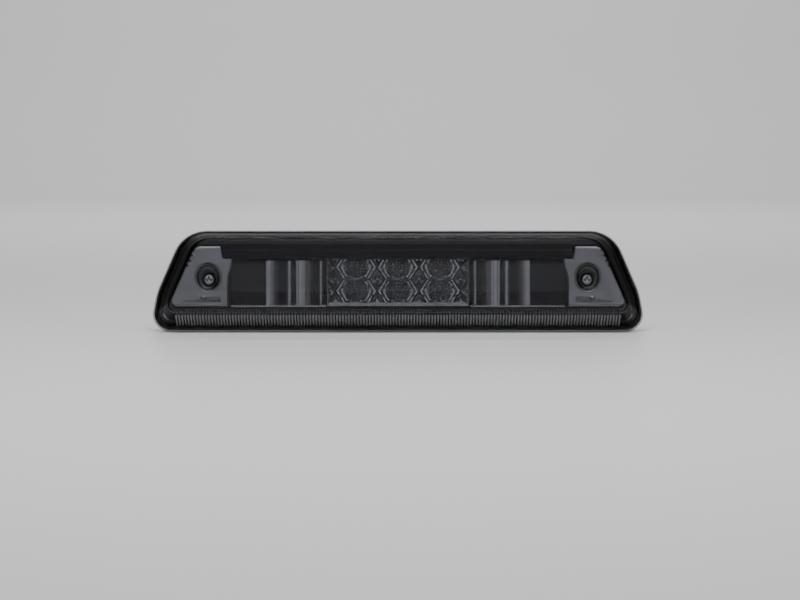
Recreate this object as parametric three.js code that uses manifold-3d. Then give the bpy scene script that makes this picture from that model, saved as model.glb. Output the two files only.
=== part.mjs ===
// Third brake light with cargo lamps for a pickup cab, as an assembly of separate pieces.
// Millimetres. X runs along the lamp, Y from the front of the lens (-) to the cab (+), Z up.
// The origin is the middle of the plane where the gasket meets the cab.
// Heights in this file are measured from the lamp's bottom edge; up() turns one into Z.
import * as THREE from "three";
import { mergeVertices } from "three/addons/utils/BufferGeometryUtils.js";
import Module from "manifold-3d";

const wasm = await Module();
wasm.setup();

// ---------------------------------------------------------------- driving dimensions
const HEIGHT = 80;
// Each corner's radius gets smaller by shrink times the inset of an outline, down to least.
const CORNERS = [
  { half: 197.3, height: 0, radius: 13.5, shrink: 0.55, least: 4.4, steps: 7 }, // bottom
  { half: 191.6, height: 30.9, radius: 60, shrink: 4, least: 8, steps: 4 }, // waist
  { half: 170, height: HEIGHT, radius: 28, shrink: 1.3, least: 12, steps: 8 }, // top
];
const GAP = 0.3; // air between pieces that touch

const LENS_FRONT = -31;
const LENS_FACE = 2.6; // wall of the front face
const LENS_RIM_FRONT = -10.3;
const LENS_RIM_BACK = -6.3;
const SEAL_STEP = -7.9; // floor of the groove that takes the lens seal
const PLATE_FRONT = -6;
const PLATE_BACK = -3;
const PLATE_INSET = 0.8;
const GASKET_INSETS = [3.2, 10.4];

const WELL_X = 149.4;
const WELL_MOUTH = { height: 44.9, rx: 7.4, rz: 9.1 };
const WELL_FLOOR = { height: 41.8, rx: 6.2, rz: 6.2 };
const WELL_WALL = 1.4;
const WELL_FLOOR_FRONT = -13.4;
const WELL_FLOOR_BACK = -11;
const SCREW_HOLE_R = 3.45;

const BOX_HALF = 64; // rear box of the housing, through the cab's cut-out
const BOX_LOW = 15;
const BOX_HIGH = 67;
const BOX_WALL = 2.4;
const BOX_BACK = 15;
const BOX_CORNER = 6;

const PANEL_FRONT = -26.4;
const PANEL_BACK = -24.8;
const PANEL_TOP = 68.5;
const FLOOR_HEIGHT = 20.8; // lower edge of the reflectors and end panels
const BANK_HALF = 55.6; // half length of the brake lamp's reflector
const BANK_TOP = 61.9;
const CELL_PITCH = 33;
const CELL_COLUMNS = [-CELL_PITCH, 0, CELL_PITCH];
const CELL_ROWS = [52, 33];
const OPTIC_R = 8.8;
const CARGO_FROM = 56.6;
const CARGO_BEND = 104.4; // where the cargo reflector starts to lean forward
const CARGO_TO = 131.4;
const CARGO_BACK = -14.6; // front of the flat stretch of flutes
const CARGO_LEAN = 0.33; // forward for each millimetre outward
const FLUTE_SAG = 2.4;
const VISOR_HALF = 137; // half length of the visor's lower apron

const LED_BOARD = { front: -7.9, back: -6.3, half: 61, low: 20, high: 61 };
const DRIVER_BOARD = { front: 5.4, back: 7, half: 50, low: 21, high: 60 };
const LED_POST_X = 58.2;
const LED_POST_HEIGHT = 42.5;
const DRIVER_POSTS = [
  { x: -45, height: 26 },
  { x: 45, height: 55 },
];
const HEADER = { x: 30, height: 34, half: 11, tall: 12, wall: 1.6, front: 7.3, floor: 9.6, back: 21 };
const PIN_PITCH = 4;
const VENT_PLACES = [
  { name: "left_breather_vent", x: -40, height: 40 },
  { name: "right_breather_vent", x: 0, height: 40 },
];

const up = (height) => height - HEIGHT / 2;

// ---------------------------------------------------------------- finishes
const finish = (color, roughness, metalness = 0) =>
  new THREE.MeshStandardMaterial({ color, roughness, metalness });
const smoked = () => {
  const lensFinish = finish(0x2b2c2e, 0.08);
  lensFinish.transparent = true;
  lensFinish.opacity = 0.45;
  return lensFinish;
};
const blackPlastic = () => finish(0x141416, 0.5);
const metallised = () => finish(0xc9cad0, 0.16, 1);
const satinMetallised = () => finish(0xb9bac2, 0.4, 1);
const clearAcrylic = () => finish(0xe6e8ea, 0.05);
const steel = () => finish(0x9a9da1, 0.32, 1);
const boardGreen = () => finish(0x1f5a38, 0.5);
const whiteCeramic = () => finish(0xe9e6dc, 0.55);
const foam = () => finish(0x1b1b1c, 0.95);
const rubber = () => finish(0x202022, 0.8);
const brass = () => finish(0xb08d45, 0.3, 1);

// ---------------------------------------------------------------- joining and cutting
function solidOf(geometry) {
  const bare = geometry.index ? geometry.clone() : mergeVertices(geometry.clone());
  bare.deleteAttribute("normal");
  bare.deleteAttribute("uv");
  const merged = mergeVertices(bare, 1e-4);
  return new wasm.Manifold(
    new wasm.Mesh({
      numProp: 3,
      vertProperties: new Float32Array(merged.attributes.position.array),
      triVerts: new Uint32Array(merged.index.array),
    }),
  );
}

function geometryOf(solid) {
  const mesh = solid.getMesh();
  const geometry = new THREE.BufferGeometry();
  geometry.setAttribute("position", new THREE.BufferAttribute(mesh.vertProperties.slice(), 3));
  geometry.setIndex(new THREE.BufferAttribute(mesh.triVerts.slice(), 1));
  geometry.computeVertexNormals();
  return geometry;
}

const join = (...pieces) => geometryOf(pieces.map(solidOf).reduce((a, b) => a.add(b)));
const cut = (base, ...tools) => geometryOf(tools.reduce((a, b) => a.subtract(solidOf(b)), solidOf(base)));
const meet = (a, b) => geometryOf(solidOf(a).intersect(solidOf(b)));

// ---------------------------------------------------------------- outlines and lofts
// The lamp's outline pulled in by its own amount at the bottom, the sides and the top, as points
// counter-clockwise seen from the front. Every outline has the same number of points.
function outline({ bottom, side, top }) {
  const mirrored = CORNERS.map((c) => ({ ...c, half: -c.half })).reverse();
  const corners = [...CORNERS, ...mirrored];
  const insets = [side, side, top, side, side, bottom];
  const edges = corners.map((corner, i) => {
    const next = corners[(i + 1) % corners.length];
    const from = new THREE.Vector2(corner.half, up(corner.height));
    const along = new THREE.Vector2(next.half, up(next.height)).sub(from).normalize();
    const inward = new THREE.Vector2(-along.y, along.x);
    return { from: from.addScaledVector(inward, insets[i]), along, inward, inset: insets[i] };
  });
  return corners.flatMap((corner, i) => {
    const before = edges[(i + edges.length - 1) % edges.length];
    const after = edges[i];
    const apart = after.from.clone().sub(before.from);
    const run = apart.cross(after.along) / before.along.cross(after.along);
    const sharp = before.from.clone().addScaledVector(before.along, run);
    const inset = (before.inset + after.inset) / 2;
    const radius = Math.max(corner.least, corner.radius - corner.shrink * inset);
    const turn = Math.acos(before.along.dot(after.along));
    const start = sharp.addScaledVector(before.along, -radius * Math.tan(turn / 2));
    const centre = start.clone().addScaledVector(before.inward, radius);
    return Array.from({ length: corner.steps + 1 }, (_, k) =>
      start.clone().rotateAround(centre, (turn * k) / corner.steps),
    );
  });
}

const evenOutline = (inset) => outline({ bottom: inset, side: inset, top: inset });

function oval(x, height, rx, rz, steps = 24) {
  return Array.from({ length: steps }, (_, k) => {
    const angle = (2 * Math.PI * k) / steps;
    return new THREE.Vector2(x + rx * Math.cos(angle), up(height) + rz * Math.sin(angle));
  });
}

// A closed skin through rings of equal point counts, given from front to back.
function loft(sections) {
  const count = sections[0].ring.length;
  const vertices = sections.flatMap(({ y, ring }) => ring.flatMap((p) => [p.x, y, p.y]));
  const faces = [];
  for (let s = 0; s + 1 < sections.length; s++) {
    for (let i = 0; i < count; i++) {
      const a = s * count + i;
      const b = s * count + ((i + 1) % count);
      faces.push(a, a + count, b + count, a, b + count, b);
    }
  }
  const last = (sections.length - 1) * count;
  for (const [a, b, c] of THREE.ShapeUtils.triangulateShape(sections[0].ring, [])) faces.push(a, b, c);
  for (const [a, b, c] of THREE.ShapeUtils.triangulateShape(sections.at(-1).ring, [])) {
    faces.push(last + a, last + c, last + b);
  }
  const geometry = new THREE.BufferGeometry();
  geometry.setAttribute("position", new THREE.Float32BufferAttribute(vertices, 3));
  geometry.setIndex(faces);
  return geometry;
}

// A flat shape in X and height, from yFront back to yBack.
function slab(shape, yFront, yBack, curveSegments = 12) {
  const options = { depth: yBack - yFront, bevelEnabled: false, curveSegments };
  return new THREE.ExtrudeGeometry(shape, options).rotateX(Math.PI / 2).translate(0, yBack, 0);
}

// A section in Y and height carried along X.
function bar(section, xFrom, xTo) {
  const shape = new THREE.Shape(section.map(([y, height]) => new THREE.Vector2(y, up(height))));
  const turned = new THREE.Matrix4().makeBasis(
    new THREE.Vector3(0, 1, 0),
    new THREE.Vector3(0, 0, 1),
    new THREE.Vector3(1, 0, 0),
  );
  const geometry = new THREE.ExtrudeGeometry(shape, { depth: xTo - xFrom, bevelEnabled: false });
  return geometry.applyMatrix4(turned).translate(xFrom, 0, 0);
}

function block(xFrom, xTo, yFront, yBack, low, high) {
  const geometry = new THREE.BoxGeometry(xTo - xFrom, yBack - yFront, high - low);
  return geometry.translate((xFrom + xTo) / 2, (yFront + yBack) / 2, up((low + high) / 2));
}

// A round post along Y.
function post(x, height, radius, yFront, yBack, sides = 16) {
  const geometry = new THREE.CylinderGeometry(radius, radius, yBack - yFront, sides);
  return geometry.translate(x, (yFront + yBack) / 2, up(height));
}

// A turned piece about Y: [radius, y] pairs from the front of the axis to the back.
const turned = (profile, sides = 20) =>
  new THREE.LatheGeometry(
    profile.map(([radius, y]) => new THREE.Vector2(radius, y)),
    sides,
  );

function roundedRectangle(halfWide, low, high, radius) {
  const shape = new THREE.Shape();
  const bottom = up(low);
  const top = up(high);
  shape.moveTo(-halfWide + radius, bottom);
  shape.lineTo(halfWide - radius, bottom);
  shape.absarc(halfWide - radius, bottom + radius, radius, -Math.PI / 2, 0);
  shape.absarc(halfWide - radius, top - radius, radius, 0, Math.PI / 2);
  shape.absarc(-halfWide + radius, top - radius, radius, Math.PI / 2, Math.PI);
  shape.absarc(-halfWide + radius, bottom + radius, radius, Math.PI, 1.5 * Math.PI);
  return shape;
}

// A ring that follows the lamp's outline between two insets.
function outlineRing(outerInset, innerInset, yFront, yBack) {
  const shape = new THREE.Shape(evenOutline(outerInset));
  shape.holes.push(new THREE.Path(evenOutline(innerInset)));
  return slab(shape, yFront, yBack);
}

// ---------------------------------------------------------------- lens
const LENS_OUTSIDE = [
  { y: LENS_FRONT, bottom: 18.6, side: 13.2, top: 5 },
  { y: -30.3, bottom: 17.2, side: 12, top: 3.9 },
  { y: -29, bottom: 16.2, side: 11.4, top: 3.4 },
  { y: -11.2, bottom: 5, side: 3.4, top: 1.6 },
  { y: LENS_RIM_FRONT, bottom: 3, side: 1.8, top: 1 },
  { y: -9.4, bottom: 0, side: 0, top: 0 },
  { y: LENS_RIM_BACK, bottom: 0, side: 0, top: 0 },
];
const LENS_INSIDE = [
  { y: LENS_FRONT + LENS_FACE, bottom: 19.6, side: 14.6, top: 7 },
  { y: -27.4, bottom: 18.2, side: 13.4, top: 5.8 },
  { y: -11, bottom: 8, side: 6.2, top: 4.1 },
  { y: SEAL_STEP, bottom: 8, side: 6.2, top: 4.1 },
];
const LIP_INSET = 2;

const rings = (sections, extra = 0) =>
  sections.map(({ y, bottom, side, top }) => ({
    y,
    ring: outline({ bottom: bottom + extra, side: side + extra, top: top + extra }),
  }));

function wellCone(x, wall, yFront, yBack) {
  const { height, rx, rz } = WELL_MOUTH;
  return loft([
    { y: yFront, ring: oval(x, height, rx + wall, rz + wall) },
    { y: yBack, ring: oval(x, WELL_FLOOR.height, WELL_FLOOR.rx + wall, WELL_FLOOR.rz + wall) },
  ]);
}

function makeLens() {
  const hollow = loft([...rings(LENS_INSIDE), { y: PLATE_FRONT + 1, ring: rings(LENS_INSIDE)[3].ring }]);
  const sealGroove = slab(new THREE.Shape(evenOutline(LIP_INSET)), SEAL_STEP, PLATE_FRONT);
  const cap = cut(loft(rings(LENS_OUTSIDE)), hollow, sealGroove);
  const tubes = [-WELL_X, WELL_X].map((x) => wellCone(x, WELL_WALL, LENS_FRONT + 1, WELL_FLOOR_BACK));
  const drives = [-WELL_X, WELL_X].map((x) => wellCone(x, 0, LENS_FRONT - 0.5, WELL_FLOOR_FRONT));
  const holes = [-WELL_X, WELL_X].map((x) => post(x, WELL_FLOOR.height, SCREW_HOLE_R, -15, -10, 24));
  return cut(join(cap, ...tubes), ...drives, ...holes);
}

// The space inside the lens, kept a little clear of its wall, for trimming the pieces behind it.
function lensRoom(clearance) {
  const inner = rings(LENS_INSIDE, clearance);
  return loft([...inner, { y: LENS_RIM_BACK, ring: inner[3].ring }]);
}

// ---------------------------------------------------------------- housing and seals
const SLEEVE_R = 4.15;
const BOSS_R = 7.5;
const LED_POST_R = 3.5;
const DRIVER_POST_R = 3;
const SMALL_HOLE_R = 1.7;
const VENT_HOLE_R = 2.5;

function makeHousing() {
  const inner = BOX_BACK - BOX_WALL;
  const plate = slab(new THREE.Shape(evenOutline(PLATE_INSET)), PLATE_FRONT, PLATE_BACK);
  const box = slab(roundedRectangle(BOX_HALF, BOX_LOW, BOX_HIGH, BOX_CORNER), -4, BOX_BACK, 5);
  const room = roundedRectangle(
    BOX_HALF - BOX_WALL,
    BOX_LOW + BOX_WALL,
    BOX_HIGH - BOX_WALL,
    BOX_CORNER - BOX_WALL,
  );
  const shell = cut(join(plate, box), slab(room, PLATE_FRONT - 1, inner, 5));
  const solids = [];
  const holes = [];
  for (const side of [-1, 1]) {
    solids.push(post(side * WELL_X, WELL_FLOOR.height, BOSS_R, WELL_FLOOR_BACK + GAP, -4, 24));
    holes.push(post(side * WELL_X, WELL_FLOOR.height, SLEEVE_R + GAP, -12, 0, 24));
    solids.push(post(side * LED_POST_X, LED_POST_HEIGHT, LED_POST_R, PLATE_FRONT, inner + 1));
    holes.push(post(side * LED_POST_X, LED_POST_HEIGHT, SMALL_HOLE_R, PLATE_FRONT - 1, 4, 12));
  }
  for (const { x, height } of DRIVER_POSTS) {
    solids.push(post(x, height, DRIVER_POST_R, DRIVER_BOARD.back + GAP, inner + 1));
    holes.push(post(x, height, SMALL_HOLE_R, DRIVER_BOARD.back, inner, 12));
  }
  for (const { x, height } of VENT_PLACES) holes.push(post(x, height, VENT_HOLE_R, inner - 1, BOX_BACK + 1));
  const { x, height, half, tall } = HEADER;
  holes.push(
    block(x - half - GAP, x + half + GAP, inner - 1, BOX_BACK + 1, height - GAP, height + tall + GAP),
  );
  return cut(join(shell, ...solids), ...holes);
}

const makeLensSeal = () => outlineRing(2.4, 3.9, SEAL_STEP + GAP, LENS_RIM_BACK);
const makeGasket = () => outlineRing(...GASKET_INSETS, PLATE_BACK + GAP, 0);

function makeVent() {
  return turned(
    [
      [0, -4.2],
      [2.1, -4.2],
      [2.1, GAP],
      [4.6, GAP],
      [4.6, 2.2],
      [3.6, 3],
      [0, 3],
    ],
    16,
  );
}

// ---------------------------------------------------------------- visor, end panels, reflectors
const STRIP_TOP = 74.2;

function makeVisor() {
  const apron = bar(
    [
      [-27.2, 59.6],
      [-25.8, 59.6],
      [-25.8, 63],
      [-13.2, 63],
      [-13.2, 64.4],
      [-23.6, 64.4],
      [-23.6, 69.4],
      [-25, 69.4],
      [-25, 65.8],
      [-26.2, 65.4],
      [-26.2, 61.8],
      [-27.2, 61.4],
    ],
    -VISOR_HALF,
    VISOR_HALF,
  );
  const strip = bar(
    [
      [-25, 69],
      [-23.4, 69],
      [-23.4, 72.8],
      [LENS_RIM_BACK, 72.8],
      [LENS_RIM_BACK, STRIP_TOP],
      [-23.9, STRIP_TOP],
      [-24.4, 70.2],
      [-25, 69.8],
    ],
    -175,
    175,
  );
  return meet(join(apron, strip), lensRoom(0.5));
}

function makeEndPanel(side) {
  const shape = new THREE.Shape();
  shape.moveTo(side * 133.7, up(FLOOR_HEIGHT));
  shape.lineTo(side * 190, up(FLOOR_HEIGHT));
  shape.lineTo(side * 190, up(PANEL_TOP));
  shape.lineTo(side * 139.6, up(PANEL_TOP));
  shape.lineTo(side * 137.6, up(59.2));
  shape.lineTo(side * 130.2, up(59.2));
  shape.lineTo(side * 130.6, up(55));
  shape.quadraticCurveTo(side * 133.7, up(46), side * 133.7, up(37));
  const face = meet(slab(shape, PANEL_FRONT, PANEL_BACK), lensRoom(0.5));
  const pegs = [
    [140, 27],
    [170, 28],
    [150, 62],
  ].map(([x, height]) => post(side * x, height, 2, PANEL_BACK - 0.5, LENS_RIM_BACK, 12));
  const shelf = meet(
    block(...(side > 0 ? [136, 176] : [-176, -136]), PANEL_BACK - 0.5, -20, FLOOR_HEIGHT, FLOOR_HEIGHT + 1.4),
    lensRoom(0.5),
  );
  const windowRing = oval(side * WELL_X, WELL_MOUTH.height - 0.4, 9.25, 11);
  const window = loft([
    { y: PANEL_FRONT - 1, ring: windowRing },
    { y: PANEL_BACK + 1, ring: windowRing },
  ]);
  return cut(join(face, shelf, ...pegs), window);
}

// A wall of concave upright flutes: a flat stretch near the brake lamp, then one that leans forward.
function makeCargoReflector(side) {
  const shape = new THREE.Shape();
  const lean = (CARGO_TO - CARGO_BEND) * CARGO_LEAN;
  const flutes = (xFrom, xTo, yFrom, yTo, count) => {
    for (let i = 0; i < count; i++) {
      const middle = (i + 0.5) / count;
      const end = (i + 1) / count;
      const at = (share) => [side * (xFrom + (xTo - xFrom) * share), yFrom + (yTo - yFrom) * share];
      shape.quadraticCurveTo(at(middle)[0], at(middle)[1] + 2 * FLUTE_SAG, ...at(end));
    }
  };
  shape.moveTo(side * CARGO_FROM, CARGO_BACK);
  flutes(CARGO_FROM, CARGO_BEND, CARGO_BACK, CARGO_BACK, 4);
  flutes(CARGO_BEND, CARGO_TO, CARGO_BACK, CARGO_BACK - lean, 2);
  shape.lineTo(side * CARGO_TO, CARGO_BACK - lean + 3);
  shape.lineTo(side * (CARGO_BEND + 0.4), CARGO_BACK + 3.8);
  shape.lineTo(side * CARGO_FROM, CARGO_BACK + 3.8);
  const options = { depth: 60.6 - FLOOR_HEIGHT, bevelEnabled: false, curveSegments: 6 };
  const wall = new THREE.ExtrudeGeometry(shape, options).translate(0, 0, up(FLOOR_HEIGHT));
  const across = (from, to) => (side > 0 ? [from, to] : [-to, -from]);
  const shelf = block(...across(CARGO_FROM, CARGO_TO), -26.2, -9.4, FLOOR_HEIGHT, FLOOR_HEIGHT + 1.2);
  const legs = [
    [72, CARGO_BACK + 3],
    [112, CARGO_BACK - 1.5],
  ].map(([x, front]) => block(...across(x, x + 4), front, LENS_RIM_BACK, 30, 50));
  return join(wall, shelf, ...legs);
}

// The brake lamp's reflector: a block with a round seat for each optic and six-sided pockets that
// point left and right.
function makeBrakeReflector() {
  const base = block(-BANK_HALF, BANK_HALF, -21.5, LED_BOARD.front - GAP, FLOOR_HEIGHT, BANK_TOP);
  const pocket = (x, height, half, narrow, tall) =>
    [
      [half, 0],
      [narrow, tall],
      [-narrow, tall],
      [-half, 0],
      [-narrow, -tall],
      [narrow, -tall],
    ].map(([dx, dz]) => new THREE.Vector2(x + dx, up(height) + dz));
  const tools = [-LED_POST_X, LED_POST_X].map((x) => post(x, LED_POST_HEIGHT, 3.2, -11, -7));
  for (const height of CELL_ROWS) {
    for (const x of CELL_COLUMNS) {
      tools.push(
        loft([
          { y: -22.5, ring: pocket(x, height, 16, 9.8, 9.1) },
          { y: -18, ring: pocket(x, height, 11.6, 8.4, 8.9) },
        ]),
        post(x, height, OPTIC_R + GAP, -22.5, -16.5, 24),
        post(x, height, 7.4, -17, -7, 24),
      );
    }
  }
  return cut(base, ...tools);
}

const makeOptic = () =>
  turned([
    [0, -5.6],
    [3.4, -5.1],
    [6.2, -3.8],
    [8, -1.9],
    [OPTIC_R, 0],
    [OPTIC_R, 1.6],
    [0, 1.6],
  ]);

// ---------------------------------------------------------------- electrics
function makeLed(wide) {
  const base = new THREE.BoxGeometry(wide, 1, wide).translate(0, -0.5, 0);
  const dome = turned(
    [
      [0, -2.3],
      [1, -2.1],
      [1.6, -1.6],
      [1.8, -0.9],
      [0, -0.9],
    ],
    12,
  );
  return join(base, dome);
}

function makeBoard({ front, back, half, low, high }, screws) {
  const face = block(-half, half, front, back, low, high);
  const holes = screws.map(({ x, height }) => post(x, height, SMALL_HOLE_R, front - 1, back + 1, 12));
  return cut(face, ...holes);
}

// A short screw with its head towards the front; y 0 is under the head.
const makeSmallScrew = (length) =>
  turned(
    [
      [0, -1.9],
      [1.9, -1.9],
      [2.7, -1.1],
      [2.7, 0],
      [1.4, 0],
      [1.4, length - 1],
      [0, length],
    ],
    12,
  );

function makeHeader() {
  const { half, tall, wall, front, floor, back } = HEADER;
  const shell = new THREE.BoxGeometry(2 * half, back - front, tall).translate(0, (front + back) / 2, 0);
  const collar = new THREE.BoxGeometry(2 * half + 4, 1.6, tall + 4).translate(0, BOX_BACK + GAP + 0.8, 0);
  const socket = new THREE.BoxGeometry(2 * (half - wall), back - floor + 2, tall - 2 * wall);
  const latch = new THREE.BoxGeometry(6, 3, 1.2).translate(0, back - 1.5, tall / 2 + 0.5);
  const holes = [-1.5, -0.5, 0.5, 1.5].map((n) =>
    new THREE.BoxGeometry(1.6, 6, 1.6).translate(n * PIN_PITCH, front, 0),
  );
  return cut(join(shell, collar, latch), socket.translate(0, (floor + back + 2) / 2, 0), ...holes);
}

// A two-core sheathed wire along a smooth route.
function makeLead(route, radius) {
  const points = route.map(([x, y, height]) => new THREE.Vector3(x, y, up(height)));
  const section = new THREE.Shape(
    Array.from({ length: 8 }, (_, k) =>
      new THREE.Vector2(radius, 0).rotateAround(new THREE.Vector2(), (k * Math.PI) / 4),
    ),
  );
  const extrudePath = new THREE.CatmullRomCurve3(points, false, "catmullrom", 0.5);
  return new THREE.ExtrudeGeometry(section, { steps: 3 * (route.length - 1), extrudePath });
}

// ---------------------------------------------------------------- mounting screws
const WASHER_THICK = 0.9;
const HEAD_UNDER = WELL_FLOOR_FRONT - GAP - WASHER_THICK - GAP;
const HEAD_TALL = 3.3;
const SHANK_R = 2.95;
const SCREW_TIP = 12;

function makeMountingScrew() {
  const crown = HEAD_UNDER - HEAD_TALL;
  const body = turned(
    [
      [0, crown],
      [3.2, crown],
      [4.4, crown + 0.8],
      [4.75, crown + 2],
      [4.75, HEAD_UNDER],
      [SHANK_R, HEAD_UNDER],
      [SHANK_R, SCREW_TIP - 1.5],
      [1.9, SCREW_TIP],
      [0, SCREW_TIP],
    ],
    24,
  );
  const recess = [
    [5, 1.2],
    [1.2, 5],
  ].map(([wide, tall]) => new THREE.BoxGeometry(wide, 4, tall).translate(0, crown, 0));
  return cut(body, ...recess);
}

const tube = (outer, inner, yFront, yBack) =>
  cut(
    new THREE.CylinderGeometry(outer, outer, yBack - yFront, 24),
    new THREE.CylinderGeometry(inner, inner, yBack - yFront + 1, 24),
  ).translate(0, (yFront + yBack) / 2, 0);

// ---------------------------------------------------------------- assembly
const lamp = new THREE.Group();

function add(name, geometry, material, x = 0, y = 0, z = 0, parent = lamp) {
  const mesh = new THREE.Mesh(geometry, material);
  mesh.name = name;
  mesh.position.set(x, y, z);
  parent.add(mesh);
  return mesh;
}

add("lens", makeLens(), smoked());
add("lens_seal", makeLensSeal(), rubber());
add("housing", makeHousing(), blackPlastic());
add("cab_gasket", makeGasket(), foam());
add("visor", makeVisor(), blackPlastic());
add("brake_reflector", makeBrakeReflector(), metallised());

const ledPosts = [-LED_POST_X, LED_POST_X].map((x) => ({ x, height: LED_POST_HEIGHT }));
add("brake_led_board", makeBoard(LED_BOARD, ledPosts), boardGreen());
add("driver_board", makeBoard(DRIVER_BOARD, DRIVER_POSTS), boardGreen());
for (const [i, { x, height }] of ledPosts.entries()) {
  const name = ["left", "right"][i] + "_led_board_screw";
  add(name, makeSmallScrew(8), steel(), x, LED_BOARD.front - GAP, up(height));
}
for (const [i, { x, height }] of DRIVER_POSTS.entries()) {
  const name = ["left", "right"][i] + "_driver_board_screw";
  add(name, makeSmallScrew(5.6), steel(), x, DRIVER_BOARD.front - GAP, up(height));
}

let cell = 0;
for (const height of CELL_ROWS) {
  for (const x of CELL_COLUMNS) {
    cell += 1;
    add(`brake_optic_${cell}`, makeOptic(), clearAcrylic(), x, -18.4, up(height));
    add(`brake_led_${cell}`, makeLed(5), finish(0xd9b9a0, 0.35), x, LED_BOARD.front - GAP, up(height));
  }
}

const CARGO_BOARD = { from: 62, to: 122, front: -24.8, back: -15, low: 61.3, high: 62.7 };
for (const [name, side] of [
  ["left", -1],
  ["right", 1],
]) {
  const { from, to, front, back, low, high } = CARGO_BOARD;
  add(`${name}_end_panel`, makeEndPanel(side), satinMetallised());
  add(`${name}_cargo_reflector`, makeCargoReflector(side), metallised());
  const across = side > 0 ? [from, to] : [-to, -from];
  add(`${name}_cargo_board`, block(...across, front, back, low, high), boardGreen());
  for (let n = 0; n < 3; n++) {
    const led = add(`${name}_cargo_led_${n + 1}`, makeLed(3.6), finish(0xe8dfa8, 0.3));
    led.position.set(side * (70 + 22 * n), (front + back) / 2, up(low - GAP));
    led.rotation.x = Math.PI / 2;
  }
  const route = [
    [side * 24, 4.6, 57.6],
    [side * 24.5, 2.4, 58.4],
    [side * 28, -0.2, 60.8],
    [side * 34, -3.2, 62.4],
    [side * 39, -6.9, 62.9],
    [side * 45, -9.4, 64.6],
    [side * 53, -10.6, 65.8],
    [side * 62, -11, 64.8],
    [side * 66, -11.4, 62.1],
    [side * 67, -14.6, 61.75],
  ];
  add(`${name}_cargo_lead`, makeLead(route, 1), finish(0x7a1512, 0.5));
}
const brakeRoute = [
  [-20, 5, 40],
  [-20, 2, 40],
  [-17, -0.6, 40],
  [-15, -3, 40],
  [-15, -6, 40],
];
add("brake_lead", makeLead(brakeRoute, 1), finish(0x7a1512, 0.5));

add("brake_resistor", new THREE.BoxGeometry(24, 6, 8), whiteCeramic(), -6, 2.1, up(52));
add("cargo_resistor", new THREE.BoxGeometry(24, 6, 8), whiteCeramic(), -6, 2.1, up(28));
const diode = add("polarity_diode", turned([[0, -4], [2.3, -4], [2.3, 4], [0, 4]], 12), blackPlastic());
diode.position.set(20, 2.8, up(42));
diode.rotation.x = Math.PI / 2;

const headerZ = up(HEADER.height + HEADER.tall / 2);
add("connector_header", makeHeader(), blackPlastic(), HEADER.x, 0, headerZ);
for (let n = 0; n < 4; n++) {
  const pin = new THREE.BoxGeometry(0.9, 8.4, 0.9);
  add(`header_pin_${n + 1}`, pin, brass(), HEADER.x + (n - 1.5) * PIN_PITCH, 11.5, headerZ);
}
for (const { name, x, height } of VENT_PLACES) add(name, makeVent(), rubber(), x, BOX_BACK, up(height));

for (const [name, side] of [
  ["left", -1],
  ["right", 1],
]) {
  const screw = new THREE.Group();
  screw.position.set(side * WELL_X, 0, up(WELL_FLOOR.height));
  lamp.add(screw);
  const sleeve = tube(SLEEVE_R, 3.35, WELL_FLOOR_BACK + 0.4, 0);
  const washer = tube(5.2, 3.2, HEAD_UNDER + GAP, WELL_FLOOR_FRONT - GAP);
  add(`${name}_compression_sleeve`, sleeve, steel(), 0, 0, 0, screw);
  add(`${name}_screw_washer`, washer, rubber(), 0, 0, 0, screw);
  add(`${name}_mounting_screw`, makeMountingScrew(), steel(), 0, 0, 0, screw);
}

export default lamp;
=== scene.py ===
"""Third brake light with cargo lamps, for the back of a pickup cab: a smoked lens over a crystal brake
lamp, two fluted cargo lamps and two satin end panels. Metres; X along the lamp, Y into the cab, Z up."""
import math

import bmesh
import bpy
import numpy as np
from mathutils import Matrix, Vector
from mathutils.geometry import tessellate_polygon


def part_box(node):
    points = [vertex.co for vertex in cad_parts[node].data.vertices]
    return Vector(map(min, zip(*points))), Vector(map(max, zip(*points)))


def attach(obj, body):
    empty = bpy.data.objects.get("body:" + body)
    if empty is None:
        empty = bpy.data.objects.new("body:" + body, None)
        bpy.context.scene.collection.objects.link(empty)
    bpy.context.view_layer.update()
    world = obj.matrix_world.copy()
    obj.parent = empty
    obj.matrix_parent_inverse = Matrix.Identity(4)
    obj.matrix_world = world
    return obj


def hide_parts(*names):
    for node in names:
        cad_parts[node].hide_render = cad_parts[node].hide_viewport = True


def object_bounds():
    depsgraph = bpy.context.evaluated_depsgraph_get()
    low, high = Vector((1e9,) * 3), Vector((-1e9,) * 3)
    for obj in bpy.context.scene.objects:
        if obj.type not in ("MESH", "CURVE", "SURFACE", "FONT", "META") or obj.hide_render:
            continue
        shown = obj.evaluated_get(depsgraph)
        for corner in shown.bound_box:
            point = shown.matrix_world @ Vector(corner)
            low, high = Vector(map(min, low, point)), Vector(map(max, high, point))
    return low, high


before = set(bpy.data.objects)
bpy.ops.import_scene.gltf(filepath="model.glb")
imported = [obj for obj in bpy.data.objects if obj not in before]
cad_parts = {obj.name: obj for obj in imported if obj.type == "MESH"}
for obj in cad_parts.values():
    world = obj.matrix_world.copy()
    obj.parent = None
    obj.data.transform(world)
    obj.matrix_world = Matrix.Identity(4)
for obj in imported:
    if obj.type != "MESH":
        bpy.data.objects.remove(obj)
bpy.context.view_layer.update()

# ------------------------------------------------------------------------------------------ housing
# One black ABS moulding: a plate that follows the lamp's outline, a rear box through the cab's
# cut-out, posts for the boards and a boss round each screw. Its back is stiffened by low ribs.
MM = 0.001
LAMP_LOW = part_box("lens")[0].z


def up(height):
    """Z of a height in millimetres above the lamp's bottom edge."""
    return LAMP_LOW + height * MM


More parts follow.
